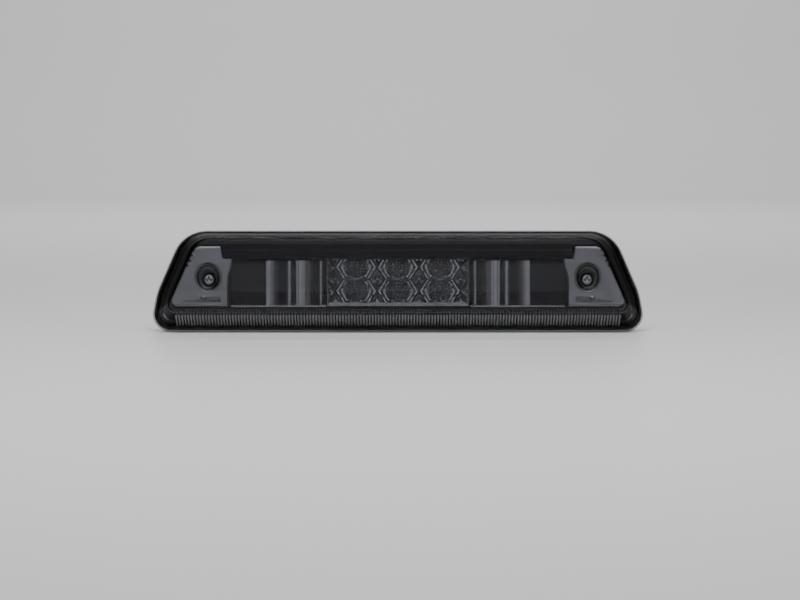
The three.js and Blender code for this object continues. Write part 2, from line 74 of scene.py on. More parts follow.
def place_piece(name, mesh, material, replaces, body, crease, bevel, bevel_from):
    """An object from a finished mesh. Edges sharper than crease degrees stay crisp, and those sharper
    than bevel_from degrees are rounded by the bevel's width."""
    mesh.polygons.foreach_set("use_smooth", np.ones(len(mesh.polygons), bool))
    mesh.set_sharp_from_angle(angle=math.radians(crease))
    mesh.materials.clear()
    mesh.materials.append(material)
    piece = bpy.data.objects.new(name, mesh)
    bpy.context.scene.collection.objects.link(piece)
    if bevel:
        rounding = piece.modifiers.new("edges", "BEVEL")
        rounding.width = bevel
        rounding.segments = 2
        rounding.limit_method = "ANGLE"
        rounding.angle_limit = math.radians(bevel_from)
    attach(piece, body)
    if replaces:
        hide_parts(*replaces)


def make_piece(name, shells, material, replaces=(), body="lamp", crease=35, bevel=0, painted_light=None):
    """One object from closed shells of (points, faces), numbered one after another and turned to face
    outwards. The painted light is a value for each point: the share of white that the material paints in
    where the lamps and shapes give too little light."""
    starts = np.cumsum([0] + [len(shell_points) for shell_points, _ in shells])
    faces = [face for (_, groups), first in zip(shells, starts)
             for group in groups for face in (group + first).tolist()]
    mesh = bpy.data.meshes.new(name)
    mesh.from_pydata(np.concatenate([shell_points for shell_points, _ in shells]).tolist(), [], faces)
    turned_out = bmesh.new()
    turned_out.from_mesh(mesh)
    bmesh.ops.recalc_face_normals(turned_out, faces=turned_out.faces)
    turned_out.to_mesh(mesh)
    turned_out.free()
    if painted_light is not None:
        mesh.attributes.new("painted_light", "FLOAT", "POINT").data.foreach_set("value", painted_light.astype(np.float32))
    place_piece(name, mesh, material, replaces, body, crease, bevel, 40)


def box_shell(low, high):
    """A box between two corners."""
    low, high = np.minimum(low, high), np.maximum(low, high)
    picks = np.array([[0, 0, 0], [1, 0, 0], [1, 1, 0], [0, 1, 0], [0, 0, 1], [1, 0, 1], [1, 1, 1], [0, 1, 1]])
    quads = np.array([[0, 3, 2, 1], [4, 5, 6, 7], [0, 1, 5, 4], [1, 2, 6, 5], [2, 3, 7, 6], [3, 0, 4, 7]])
    return np.where(picks == 1, high, low), [quads]


def add(nodes, kind, **inputs):
    """A shader node with the values of its named inputs; underscores stand for spaces."""
    node = nodes.new(kind)
    for key, value in inputs.items():
        node.inputs[key.replace("_", " ")].default_value = value
    return node


def moulded(name, colour, roughness, metallic=0.0, grain=0.4, depth=0.02, mottle=0.12, patch=14):
    """A finish with three procedural parts: the colour and the roughness drift by mottle over patches
    of so many millimetres, and a fine noise of grain millimetres stands depth millimetres deep."""
    material = bpy.data.materials.new(name)
    material.use_nodes = True
    nodes, links = material.node_tree.nodes, material.node_tree.links
    shader = nodes["Principled BSDF"]
    shader.inputs["Metallic"].default_value = metallic
    place = nodes.new("ShaderNodeTexCoord")
    drift = add(nodes, "ShaderNodeTexNoise", Scale=1 / (patch * MM), Detail=4.0, Roughness=0.6)
    tone = nodes.new("ShaderNodeMix")
    tone.data_type = "RGBA"
    tone.inputs["A"].default_value = [channel * (1 - mottle) for channel in colour] + [1]
    tone.inputs["B"].default_value = [min(1, channel * (1 + mottle)) for channel in colour] + [1]
    gloss = nodes.new("ShaderNodeMapRange")
    gloss.inputs["To Min"].default_value = roughness * (1 - mottle)
    gloss.inputs["To Max"].default_value = roughness * (1 + mottle)
    fine = add(nodes, "ShaderNodeTexNoise", Scale=1 / (grain * MM), Detail=3.0)
    relief = add(nodes, "ShaderNodeBump", Strength=1.0, Distance=depth * MM)
    links.new(place.outputs["Object"], drift.inputs["Vector"])
    links.new(place.outputs["Object"], fine.inputs["Vector"])
    links.new(drift.outputs["Fac"], tone.inputs["Factor"])
    links.new(drift.outputs["Fac"], gloss.inputs["Value"])
    links.new(tone.outputs["Result"], shader.inputs["Base Color"])
    links.new(gloss.outputs["Result"], shader.inputs["Roughness"])
    links.new(fine.outputs["Fac"], relief.inputs["Height"])
    links.new(relief.outputs["Normal"], shader.inputs["Normal"])
    return material


def refine(node, material, bevel):
    """A copy of a hard part with its triangles merged back into flat faces and its edges rounded."""
    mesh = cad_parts[node].data.copy()
    piece_mesh = bmesh.new()
    piece_mesh.from_mesh(mesh)
    bmesh.ops.remove_doubles(piece_mesh, verts=piece_mesh.verts, dist=1e-6)
    bmesh.ops.dissolve_limit(piece_mesh, angle_limit=math.radians(1),
                             verts=piece_mesh.verts, edges=piece_mesh.edges)
    piece_mesh.to_mesh(mesh)
    piece_mesh.free()
    place_piece(node + "_moulding", mesh, material, [node], "lamp", 28, bevel, 35)


black_abs = moulded("black_abs", (0.022, 0.022, 0.024), 0.46, grain=0.35, depth=0.03)
refine("housing", black_abs, 0.35 * MM)

PLATE_BACK = -3 * MM
RIB_ROOT = PLATE_BACK - 0.2 * MM
RIB_WIDE = 1.4
rib_shells = []
for side in (-1, 1):
    for height in (24, 41.8, 58):
        rib_shells.append(box_shell((side * 65 * MM, RIB_ROOT, up(height - RIB_WIDE / 2)),
                                    (side * 136 * MM, PLATE_BACK + 1.8 * MM, up(height + RIB_WIDE / 2))))
    for reach in (80, 100, 120):
        rib_shells.append(box_shell((side * reach * MM, RIB_ROOT, up(17)),
                                    (side * (reach + RIB_WIDE) * MM, PLATE_BACK + 1.6 * MM, up(65))))
make_piece("housing_ribs", rib_shells, black_abs, bevel=0.25 * MM)

# ----------------------------------------------------------------------------------- circuit boards
# Green glass-epoxy boards. The brake board lies across the mouth of the rear box, the driver board
# stands inside the box, and a narrow cargo board hangs under each end of the visor's shelf.
solder_mask = moulded("solder_mask", (0.02, 0.11, 0.05), 0.3, grain=0.5, depth=0.01)
mask_nodes, mask_links = solder_mask.node_tree.nodes, solder_mask.node_tree.links
tracks = add(mask_nodes, "ShaderNodeTexBrick", Scale=1 / (7 * MM), Mortar_Size=0.06, Brick_Width=0.9)
tracks.inputs["Color1"].default_value = (0.02, 0.11, 0.05, 1)
tracks.inputs["Color2"].default_value = (0.024, 0.13, 0.06, 1)
tracks.inputs["Mortar"].default_value = (0.05, 0.22, 0.1, 1)
turn_tracks = add(mask_nodes, "ShaderNodeMapping", Rotation=(math.pi / 2, 0, 0))
mask_links.new(mask_nodes["Texture Coordinate"].outputs["Object"], turn_tracks.inputs["Vector"])
mask_links.new(turn_tracks.outputs["Vector"], tracks.inputs["Vector"])
mask_links.new(tracks.outputs["Color"], mask_nodes["Principled BSDF"].inputs["Base Color"])

for board in ("brake_led_board", "driver_board", "left_cargo_board", "right_cargo_board"):
    refine(board, solder_mask, 0.15 * MM)

chip_black = moulded("chip_black", (0.02, 0.02, 0.02), 0.5, grain=0.2, depth=0.01)
CHIP_SIZE = np.array([5.2, 1.2, 2.6]) * MM
board_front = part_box("driver_board")[0].y
chips = []
for column in range(5):
    for row in range(2):
        corner = np.array([(8.5 * column - 36) * MM, board_front - 1.3 * MM, up(34 + 5 * row)])
        chips.append(box_shell(corner, corner + CHIP_SIZE))
make_piece("driver_chips", chips, chip_black, bevel=0.12 * MM)

cement = moulded("cement", (0.74, 0.71, 0.64), 0.7, grain=0.3, depth=0.05)
for node in ("brake_resistor", "cargo_resistor"):
    refine(node, cement, 0.5 * MM)
refine("polarity_diode", chip_black, 0.3 * MM)

# --------------------------------------------------------------------------------------------- LEDs
# Each LED is a white package with a clear dome over its chip: the brake LEDs face forwards through
# the crystal cells, and the cargo LEDs face down onto the flutes.


def grid_faces(rows, columns, wrap_rows=False, wrap_columns=False):
    """Quads of a grid of points numbered row by row, joined end to end where it wraps."""
    row = np.arange(rows if wrap_rows else rows - 1)[:, None]
    column = np.arange(columns if wrap_columns else columns - 1)[None, :]
    below, beside = (row + 1) % rows, (column + 1) % columns
    corners = (row * columns + column, row * columns + beside,
               below * columns + beside, below * columns + column)
    return [np.stack(np.broadcast_arrays(*corners), axis=-1).reshape(-1, 4)]


def turned_shell(profile, centre, sides=48, axis=1):
    """A profile of (radius, along) carried round an axis through centre. A profile that starts and
    ends on the axis is closed there by fans; any other is joined end to end."""
    profile = np.asarray(profile, float)
    solid = profile[0, 0] == 0 and profile[-1, 0] == 0
    rows = profile[1:-1] if solid else profile
    angle = np.arange(sides) * 2 * math.pi / sides
    around = [other for other in range(3) if other != axis]
    points = np.zeros((len(rows), sides, 3))
    points[:, :, around[0]] = rows[:, :1] * np.cos(angle)
    points[:, :, around[1]] = rows[:, :1] * np.sin(angle)
    points[:, :, axis] = rows[:, 1:]
    points = points.reshape(-1, 3)
    faces = grid_faces(len(rows), sides, wrap_rows=not solid, wrap_columns=True)
    if solid:
        poles = np.zeros((2, 3))
        poles[:, axis] = profile[[0, -1], 1]
        ring = np.arange(sides)
        beside = (ring + 1) % sides
        last = (len(rows) - 1) * sides
        first_pole = len(points)
        faces.append(np.stack([np.full(sides, first_pole), beside, ring], axis=1))
        faces.append(np.stack([np.full(sides, first_pole + 1), last + ring, last + beside], axis=1))
        points = np.concatenate([points, poles])
    return points + np.asarray(centre, float), faces


white_package = moulded("white_package", (0.3, 0.3, 0.3), 0.42, grain=0.2, depth=0.01)
clear_chip = moulded("clear_chip", (0.78, 0.42, 0.36), 0.1, grain=0.5, depth=0.01)
phosphor = moulded("phosphor", (0.7, 0.66, 0.46), 0.28, grain=0.2, depth=0.02)
clear_chip.node_tree.nodes["Principled BSDF"].inputs["Coat Weight"].default_value = 1.0
phosphor.node_tree.nodes["Principled BSDF"].inputs["Coat Weight"].default_value = 0.6
PACKAGE_TALL = 0.9 * MM
DOME_SHARE = 0.36


def led_shells(node, face_axis):
    """A square package and a dome, a quarter of an ellipse carried round, within the CAD part's box.
    Both face the low side of the box along face_axis."""
    low, high = (np.array(corner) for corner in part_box(node))
    centre = (low + high) / 2
    centre[face_axis] = high[face_axis]
    package_low = low.copy()
    package_low[face_axis] = high[face_axis] - PACKAGE_TALL
    reach = (high - low)[face_axis]
    radius, dome_tall = DOME_SHARE * max(high - low), reach - PACKAGE_TALL
    profile = [(0, PACKAGE_TALL * 2 / 3), (radius, PACKAGE_TALL * 2 / 3)]
    profile += [(radius * math.cos(turn), PACKAGE_TALL + dome_tall * math.sin(turn))
                for turn in np.linspace(0, math.pi / 2, 9)[:-1]]
    profile.append((0, reach))
    profile = np.array(profile) * [1, -1]
    return box_shell(package_low, high), turned_shell(profile, centre, 32, face_axis)


for number in range(1, 7):
    node = f"brake_led_{number}"
    package, dome = led_shells(node, 1)
    make_piece(node + "_package", [package], white_package, [node], bevel=0.2 * MM)
    make_piece(node + "_dome", [dome], clear_chip)
for side in ("left", "right"):
    for number in range(1, 4):
        node = f"{side}_cargo_led_{number}"
        package, dome = led_shells(node, 2)
        make_piece(node + "_package", [package], white_package, [node], bevel=0.2 * MM)
        make_piece(node + "_dome", [dome], phosphor)

# ------------------------------------------------------------------------------------------- leads
# Two-core leads with red and black sheaths run from the driver board to the brake board and, over
# the top of the brake reflector, to each cargo board.
sheath_red = moulded("sheath_red", (0.32, 0.02, 0.015), 0.42, grain=0.5, depth=0.02)
sheath_black = moulded("sheath_black", (0.02, 0.02, 0.02), 0.42, grain=0.5, depth=0.02)


def smooth_path(points, per_span=10):
    """A Catmull-Rom curve: between two points the path is the cubic through both whose slopes are half
    the gap between their neighbours."""
    points = np.asarray(points, float)
    padded = np.concatenate([[2 * points[0] - points[1]], points, [2 * points[-1] - points[-2]]])
    share = np.linspace(0, 1, per_span, endpoint=False)[:, None]
    spans = []
    for start in range(len(points) - 1):
        a, b, c, d = padded[start:start + 4]
        spans.append(0.5 * (2 * b + (c - a) * share + (2 * a - 5 * b + 4 * c - d) * share**2
                            + (3 * b - a - 3 * c + d) * share**3))
    return np.concatenate([*spans, points[-1:]])


def wire_shell(path, radius, offset, sides=14):
    """A round wire beside a path: each ring lies across the path's direction, shifted by offset along
    the direction that is square to the path and nearest to Z."""
    along = np.gradient(path, axis=0)
    along /= np.linalg.norm(along, axis=1)[:, None]
    reference = np.array([0.35, 0.1, 0.93])
    over = reference - (along @ reference)[:, None] * along
    over /= np.linalg.norm(over, axis=1)[:, None]
    beside = np.cross(along, over)
    angle = np.arange(sides) * 2 * math.pi / sides
    ring = np.cos(angle)[None, :, None] * over[:, None] + np.sin(angle)[None, :, None] * beside[:, None]
    points = ((path + offset * over)[:, None] + radius * ring).reshape(-1, 3)
    faces = grid_faces(len(path), sides, wrap_columns=True)
    last = (len(path) - 1) * sides
    faces.append(np.arange(sides)[None, ::-1])
    faces.append(np.arange(last, last + sides)[None])
    return points, faces


cargo_route = [(24, 4.6, 57.6), (24.5, 2.4, 58.4), (28, -0.2, 60.8), (34, -3.2, 62.4), (39, -6.9, 62.9),
               (45, -9.4, 64.6), (53, -10.6, 65.8), (62, -11, 64.8), (66, -11.4, 62.1), (67, -14.6, 61.75)]
brake_route = [(-20, 5, 40), (-20, 2, 40), (-17, -0.6, 40), (-15, -3, 40), (-15, -6, 40)]
lead_routes = {
    "left_cargo_lead": [(-x, y, height) for x, y, height in cargo_route],
    "right_cargo_lead": cargo_route,
    "brake_lead": brake_route,
}
WIRE_RADIUS = 0.47 * MM
WIRE_OFFSET = 0.48 * MM
for node, route in lead_routes.items():
    path = smooth_path([(x * MM, y * MM, up(height)) for x, y, height in route])
    red, black = (wire_shell(path, WIRE_RADIUS, offset) for offset in (WIRE_OFFSET, -WIRE_OFFSET))
    make_piece(node + "_red", [red], sheath_red, [node])
    make_piece(node + "_black", [black], sheath_black)

# ---------------------------------------------------------------------------------- brake reflector
# Metallised six-sided cells in two rows of three. Round its round bowl each cell has stepped facets
# that point left and right, and faceted diamonds fill the corners between the cells.
mirror_coat = moulded("mirror_coat", (0.74, 0.75, 0.78), 0.11, 1.0, grain=2.2, depth=0.004, mottle=0.05)
optic_boxes = [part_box(f"brake_optic_{number}") for number in range(1, 7)]
cell_columns = sorted({round((low.x + high.x) / 2, 5) for low, high in optic_boxes})
cell_rows = sorted({round((low.z + high.z) / 2, 5) for low, high in optic_boxes})
bank_low, bank_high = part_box("brake_reflector")
cell_back = bank_high.y + 0.1 * MM


def smooth_step(low, high, value):
    """0 below low, 1 above high, and a cubic ease between them."""
    share = np.clip((value - low) / (high - low), 0, 1)
    return share * share * (3 - 2 * share)


def faceted_cell(corners, inner, rows, back, per_edge=12):
    """A closed block on an outline of straight edges. Points lie on rays from its middle: row by row
    they go from the outline to an inner circle by a share, and on to the middle by a radius, each row
    at its own depth. Rows are (share, radius, depth) with share 0 on the outline and 1 on the circle."""
    corners = np.asarray(corners, float)
    middle = corners.mean(axis=0)
    share = np.arange(per_edge)[None, :, None] / per_edge
    edge = (corners[:, None] + (np.roll(corners, -1, axis=0) - corners)[:, None] * share).reshape(-1, 2)
    ray = edge - middle
    length = np.linalg.norm(ray, axis=1)
    unit = ray / length[:, None]
    room = length - inner
    points = []
    for out_share, radius, depth in [(0, None, back), *rows]:
        reach = length - room * out_share if radius is None else np.full(len(edge), radius)
        y = np.full(len(edge), depth, float)
        if radius is None and 0 < out_share < 1:
            y = rows[0][2] + (depth - rows[0][2]) * np.clip(room / (6 * MM), 0, 1)
        flat = middle + unit * reach[:, None]
        points.append(np.stack([flat[:, 0], y, flat[:, 1]], axis=1))
    points = np.stack(points)
    return points, middle


def close_cell(points):
    """Quads down the rows, a fan over the last row and one flat face over the first."""
    rows, columns = points.shape[:2]
    flat = points.reshape(-1, 3)
    faces = grid_faces(rows, columns, wrap_columns=True)
    centre = flat[-columns:].mean(axis=0)
    ring = (rows - 1) * columns + np.arange(columns)
    faces.append(np.stack([ring, np.roll(ring, -1), np.full(columns, len(flat))], axis=1))
    faces.append(np.arange(columns)[None, ::-1])
    return np.concatenate([flat, centre[None]]), faces


SEAT = 8.35 * MM
SEAT_FRONT = -16.3 * MM
BOWL_RIM = SEAT - 0.4 * MM
BOWL_FOOT = 3.2 * MM
BOWL_DEEP = 2.4 * MM
STAIRS = 2
STAIR_RISE = 1.9 * MM


def crystal_rows(front):
    """Two stairs from the outline in, each a tread that faces the front and a riser as deep as it is
    wide, then the seat of the optic, a bowl whose depth is a quarter of a sine, and the LED's pocket."""
    rows = [(0, None, front)]
    for stair in range(STAIRS):
        tread = front - 1.2 * MM + STAIR_RISE * stair
        rows.append((stair / STAIRS + 0.02, None, tread))
        rows.append((stair / STAIRS + 0.23, None, tread + 0.03 * MM))
    rows += [(1, None, front + 2.6 * MM), (1, SEAT - 0.05 * MM, front + 2.8 * MM),
             (1, SEAT - 0.1 * MM, SEAT_FRONT)]
    for share in np.linspace(0, 1, 27):
        radius = BOWL_RIM + (BOWL_FOOT - BOWL_RIM) * share
        rows.append((1, radius, SEAT_FRONT + BOWL_DEEP * math.sin(share * math.pi / 2)))
    pocket_floor = cell_back - 0.1 * MM
    rows += [(1, 3.15 * MM, -11.5 * MM), (1, 3.1 * MM, pocket_floor), (1, 1.5 * MM, pocket_floor)]
    return rows


CELL_FRONT = -20.6 * MM
BEHIND_STAIRS = -17 * MM
TREAD_LEAN = 0.12
PEBBLE_PITCH = 3 * MM
PEBBLE_TALL = 0.5 * MM
HALF_CELL = 15.9 * MM
NARROW = 9.9 * MM
HALF_ROW = 9.2 * MM
bank_shells = []
for cell_x in cell_columns:
    for cell_z in cell_rows:
        hexagon = [(cell_x + HALF_CELL, cell_z), (cell_x + NARROW, cell_z + HALF_ROW),
                   (cell_x - NARROW, cell_z + HALF_ROW), (cell_x - HALF_CELL, cell_z),
                   (cell_x - NARROW, cell_z - HALF_ROW), (cell_x + NARROW, cell_z - HALF_ROW)]
        points, middle = faceted_cell(hexagon, SEAT, crystal_rows(CELL_FRONT), cell_back, 22)
        local_x, local_z = points[:, :, 0] - middle[0], points[:, :, 2] - middle[1]
        reach = np.hypot(local_x, local_z)
        wave = 2 * math.pi / PEBBLE_PITCH
        pebble = PEBBLE_TALL * np.cos(local_x * wave) * np.cos(local_z * wave)
        in_bowl = smooth_step(BOWL_FOOT, BOWL_FOOT + 0.6 * MM, reach)
        in_bowl *= 1 - smooth_step(BOWL_RIM - 0.55 * MM, BOWL_RIM - 0.05 * MM, reach)
        points[:, :, 1] += pebble * in_bowl * (points[:, :, 1] > BEHIND_STAIRS)
        points[:, :, 1] += TREAD_LEAN * local_z * (points[:, :, 1] < BEHIND_STAIRS)
        bank_shells.append(close_cell(points))


def facet_rows(front, tall):
    """A facet that rises in two steps to a blunt point."""
    return [(0, None, front + tall), (0.05, None, front + tall * 0.9), (0.45, None, front + tall * 0.35),
            (0.5, None, front + tall * 0.6), (0.93, None, front), (1, None, front)]


DIAMOND_HALF = 5.5 * MM
DIAMOND_TALL = 8 * MM
FACET_FRONT = -21.2 * MM
FACET_BACK = -17 * MM
row_line = (cell_rows[0] + cell_rows[1]) / 2
pitch = cell_columns[1] - cell_columns[0]
for side_x in [cell_columns[0] - pitch / 2, -pitch / 2, pitch / 2, cell_columns[-1] + pitch / 2]:
    near_x, far_x = side_x - DIAMOND_HALF, side_x + DIAMOND_HALF
    low_edge, high_edge = cell_rows[0] - HALF_ROW, cell_rows[1] + HALF_ROW
    diamond = [(far_x, row_line), (side_x, row_line + DIAMOND_TALL),
               (near_x, row_line), (side_x, row_line - DIAMOND_TALL)]
    lower = [(far_x, low_edge), (side_x, low_edge + DIAMOND_TALL), (near_x, low_edge)]
    upper = [(near_x, high_edge), (side_x, high_edge - DIAMOND_TALL), (far_x, high_edge)]
    for shape in (diamond, lower, upper):
        facets, _ = faceted_cell(shape, 0.6 * MM, facet_rows(FACET_FRONT, 1.5 * MM), FACET_BACK, 6)
        bank_shells.append(close_cell(facets))
for side in (-1, 1):
    inner_x = side * (cell_columns[-1] + HALF_CELL + 0.7 * MM)
    outer_x = side * (bank_high.x - 0.6 * MM)
    for cell_z in cell_rows:
        wedge = [(inner_x, cell_z), (outer_x, cell_z + 7.8 * MM), (outer_x, cell_z - 7.8 * MM)]
        facets, _ = faceted_cell(wedge, 0.6 * MM, facet_rows(FACET_FRONT, 1.3 * MM), FACET_BACK, 6)
        bank_shells.append(close_cell(facets))
wall = 0.5 * MM
frame_bars = [
    ((bank_low.x, -16 * MM, bank_low.z), (bank_high.x, cell_back, cell_rows[0] - HALF_ROW - 0.2 * MM)),
    ((bank_low.x, -19 * MM, bank_low.z), (bank_low.x + wall, cell_back, bank_high.z)),
    ((bank_high.x - wall, -19 * MM, bank_low.z), (bank_high.x, cell_back, bank_high.z)),
]
bank_shells += [box_shell(low, high) for low, high in frame_bars]
make_piece("crystal_reflector", bank_shells, mirror_coat, ["brake_reflector"], crease=4)

# ---------------------------------------------------------------------------------------- optics
# A clear acrylic dome in the seat of each cell, its front covered in small pillows that break the
# LED's light into sparks. Part of the sparkle is painted: white glints on the pillow tips.


def acrylic(name, tints, mirror_tone, roughness, edge_ior, painted_light_tone, wave_size, wave_tall):
    """Acrylic that lets light through in one tint, or in a slow drift between two. It mirrors more
    towards grazing angles, a fine wave of that size and height stands on it, and a white diffuse share
    is painted in as light where a point's painted light value says so."""
    material = bpy.data.materials.new(name)
    material.use_nodes = True
    nodes, links = material.node_tree.nodes, material.node_tree.links
    nodes.clear()
    place = nodes.new("ShaderNodeTexCoord")
    through = add(nodes, "ShaderNodeBsdfTransparent", Color=(*tints[0], 1))
    if len(tints) == 2:
        cloud = add(nodes, "ShaderNodeTexNoise", Scale=30.0, Detail=3.0)
        tint = nodes.new("ShaderNodeMix")
        tint.data_type = "RGBA"
        tint.inputs["A"].default_value = (*tints[0], 1)
        tint.inputs["B"].default_value = (*tints[1], 1)
        links.new(place.outputs["Object"], cloud.inputs["Vector"])
        links.new(cloud.outputs["Fac"], tint.inputs["Factor"])
        links.new(tint.outputs["Result"], through.inputs["Color"])
    wave = add(nodes, "ShaderNodeTexNoise", Scale=1 / wave_size, Detail=2.0)
    relief = add(nodes, "ShaderNodeBump", Strength=0.5, Distance=wave_tall)
    mirror = add(nodes, "ShaderNodeBsdfAnisotropic", Roughness=roughness, Color=(*mirror_tone, 1))
    edge = add(nodes, "ShaderNodeFresnel", IOR=edge_ior)
    clear = nodes.new("ShaderNodeMixShader")
    links.new(place.outputs["Object"], wave.inputs["Vector"])
    links.new(wave.outputs["Fac"], relief.inputs["Height"])
    links.new(relief.outputs["Normal"], mirror.inputs["Normal"])
    links.new(relief.outputs["Normal"], edge.inputs["Normal"])
    links.new(edge.outputs["Fac"], clear.inputs["Fac"])
    links.new(through.outputs["BSDF"], clear.inputs[1])
    links.new(mirror.outputs["BSDF"], clear.inputs[2])
    # Painted light: a white diffuse share, set point by point by the mesh attribute, stands in for light and
    # sparkle.
    white = add(nodes, "ShaderNodeBsdfDiffuse", Color=(*painted_light_tone, 1))
    painted_light = nodes.new("ShaderNodeAttribute")
    painted_light.attribute_name = "painted_light"
    body = nodes.new("ShaderNodeMixShader")
    surface = nodes.new("ShaderNodeOutputMaterial")
    links.new(painted_light.outputs["Fac"], body.inputs["Fac"])
    links.new(clear.outputs["Shader"], body.inputs[1])
    links.new(white.outputs["BSDF"], body.inputs[2])
    links.new(body.outputs["Shader"], surface.inputs["Surface"])
    return material


clear_acrylic = acrylic("clear_acrylic", [(0.95, 0.96, 0.97)], (0.95, 0.96, 1), 0.08, 2.2,
                        (0.95, 0.95, 0.97), 1.11 * MM, 0.02 * MM)
OPTIC_RIM = 1.6 * MM
PILLOW_TALL = 0.8 * MM


def optic_shell(node, steps=60):
    """A square grid pressed onto a disc: each of u and v is shortened by the root of one less half the
    square of the other. It is raised to part of a ball over a flat back, and set with pillows, the
    product of a sine along u and one along v. The third value is the painted glint on each point's pillow."""
    low, high = (np.array(corner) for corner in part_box(node))
    centre, radius = (low + high) / 2, SEAT - 0.15 * MM
    u, v = np.meshgrid(np.linspace(-1, 1, steps + 1), np.linspace(-1, 1, steps + 1))
    x, z = u * np.sqrt(1 - v * v / 2), v * np.sqrt(1 - u * u / 2)
    out = np.clip(np.hypot(x, z), 0, 1)
    dome = np.sqrt(np.clip(1 - out * out * 0.82, 0, 1))
    dome = (dome - dome.min()) / (dome.max() - dome.min())
    pillow = np.abs(np.sin(u * 3 * math.pi) * np.sin(v * 3 * math.pi)) ** 0.7
    rise = high[1] - low[1] - OPTIC_RIM
    edge = 1 - smooth_step(0.88, 0.98, out)
    y = high[1] - OPTIC_RIM - (rise - PILLOW_TALL) * dome - PILLOW_TALL * pillow * edge
    # Painted glints: white at the pillow tips, varied from pillow to pillow, in place of sparkle that the
    # shapes don't return.
    painted_glints = 0.9 * (pillow * edge) ** 3 * (0.55 + 0.45 * np.cos(u * 9 + v * 5) * np.cos(u * 4 - v * 11))
    front = np.stack([centre[0] + x * radius, y, centre[2] + z * radius], axis=-1).reshape(-1, 3)
    back = front.copy()
    back[:, 1] = high[1]
    count = len(front)
    faces = grid_faces(steps + 1, steps + 1)
    faces.append(faces[0][:, ::-1] + count)
    grid = np.arange(count).reshape(steps + 1, steps + 1)
    rim = np.concatenate([grid[0, :-1], grid[:-1, -1], grid[-1, :0:-1], grid[:0:-1, 0]])
    beside = np.roll(rim, -1)
    faces.append(np.stack([rim, rim + count, beside + count, beside], axis=1))
    return np.concatenate([front, back]), faces, np.concatenate([painted_glints.reshape(-1), np.zeros(count)])


for number in range(1, 7):
    node = f"brake_optic_{number}"
    *shell, painted_glints = optic_shell(node)
    make_piece(node + "_dome", [shell], clear_acrylic, [node], crease=50, painted_light=painted_glints)

# --------------------------------------------------------------------------------- cargo reflectors
# A metallised wall of upright concave flutes at each side of the brake lamp. Four flutes lie flat to
# the front and two lean forwards to meet the end panel, over a narrow shelf.
FLUTE_SAGS = (1.5, 0.7, 1.8, 0.55, 0.3, 0.3)
RIPPLES = (0, 0.035, 0, 0.035, 0, 0)
WALL_LEAN = 0.105


def fill_face(points, loops, flat_axis):
    """Triangles over a region flat along flat_axis: the first loop of point numbers is its edge and
    the others are holes."""
    kept = [axis for axis in range(3) if axis != flat_axis]
    flat = [[Vector((*points[number][kept], 0)) for number in loop] for loop in loops]
    return np.concatenate(loops)[np.array(tessellate_polygon(flat))]


def flute_section(side, per_flute=42):
    """The plan of the wall: each flute is a parabola, deepest at its middle by its own sag, between two
    stations of a base line that zigzags a little and then comes forward. Two of them have a shallow
    ripple of seven sine-squared waves."""
    stations = np.array([56.6, 65.2, 80.5, 92.4, 104.4, 117.9, 131.4])
    base = np.array([-14.6, -14.6, -13.6, -14.5, -13.5, -18.6, -23.5])
    xs, ys = [], []
    for number, (sag, ripple) in enumerate(zip(FLUTE_SAGS, RIPPLES)):
        share = np.linspace(0, 1, per_flute, endpoint=False)
        xs.append(stations[number] + (stations[number + 1] - stations[number]) * share)
        chord = base[number] + (base[number + 1] - base[number]) * share
        ys.append(chord + sag * (1 - (2 * share - 1) ** 2) - ripple * np.sin(share * 7 * math.pi) ** 2)
    front = np.stack([np.concatenate([*xs, stations[-1:]]), np.concatenate([*ys, base[-1:]])], axis=1)
    back = np.array([[131.4, base[-1] + 3], [104.8, -10.8], [56.6, -10.8]])
    return np.concatenate([front, back]) * MM * [side, 1]


def upright_shell(section, levels):
    """A plan outline carried up through the levels, leaning back as it rises, closed by flat ends."""
    columns = len(section)
    middle = (levels[0] + levels[-1]) / 2
    leaning = [section[:, 1] + (level - middle) * WALL_LEAN for level in levels]
    points = np.concatenate([np.column_stack([section[:, 0], depth, np.full(columns, level)])
                             for depth, level in zip(leaning, levels)])
    faces = grid_faces(len(levels), columns, wrap_columns=True)
    last = (len(levels) - 1) * columns
    faces += [fill_face(points, [row + np.arange(columns)], 2) for row in (0, last)]
    return points, faces


for side_name, side in (("left", -1), ("right", 1)):
    node = f"{side_name}_cargo_reflector"
    low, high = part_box(node)
    levels = np.linspace(low.z + 0.9 * MM, high.z, 6)
    shelf = box_shell((side * 56.6 * MM, low.y, low.z), (side * 131.4 * MM, -11 * MM, low.z + 1.2 * MM))
    legs = [box_shell((side * x * MM, front * MM, up(30)), (side * (x + 4) * MM, high.y, up(50)))
            for x, front in ((72, -11.6), (112, -14))]
    shells = [upright_shell(flute_section(side), levels), shelf, *legs]
    make_piece(node + "_flutes", shells, mirror_coat, [node], crease=30)

# --------------------------------------------------------------------------------------- end panels
# A satin metallised panel at each end, cut round the screw well, with a folded ledge along its foot,
# a short slot with a locating nub above it, and a toothed upper edge.
satin_coat = moulded("satin_coat", (0.93, 0.93, 0.97), 0.4, 1.0, grain=0.5, depth=0.012, mottle=0.05)
satin_nodes, satin_links = satin_coat.node_tree.nodes, satin_coat.node_tree.links
lines = add(satin_nodes, "ShaderNodeTexWave", Scale=1 / (5.5 * MM), Distortion=0.4, Detail=1.0)
lines.bands_direction = "Z"
line_relief = add(satin_nodes, "ShaderNodeBump", Strength=0.35, Distance=0.03 * MM)
satin_links.new(satin_nodes["Texture Coordinate"].outputs["Object"], lines.inputs["Vector"])
satin_links.new(lines.outputs["Fac"], line_relief.inputs["Height"])
satin_links.new(satin_nodes["Bump"].outputs["Normal"], line_relief.inputs["Normal"])
satin_links.new(line_relief.outputs["Normal"], satin_nodes["Principled BSDF"].inputs["Normal"])
WELL_X = 149.4
TOOTH_PITCH = 4.1
TOOTH_DEEP = 1.9
PANEL_FRONT = -26.2
PANEL_BACK = -24.9


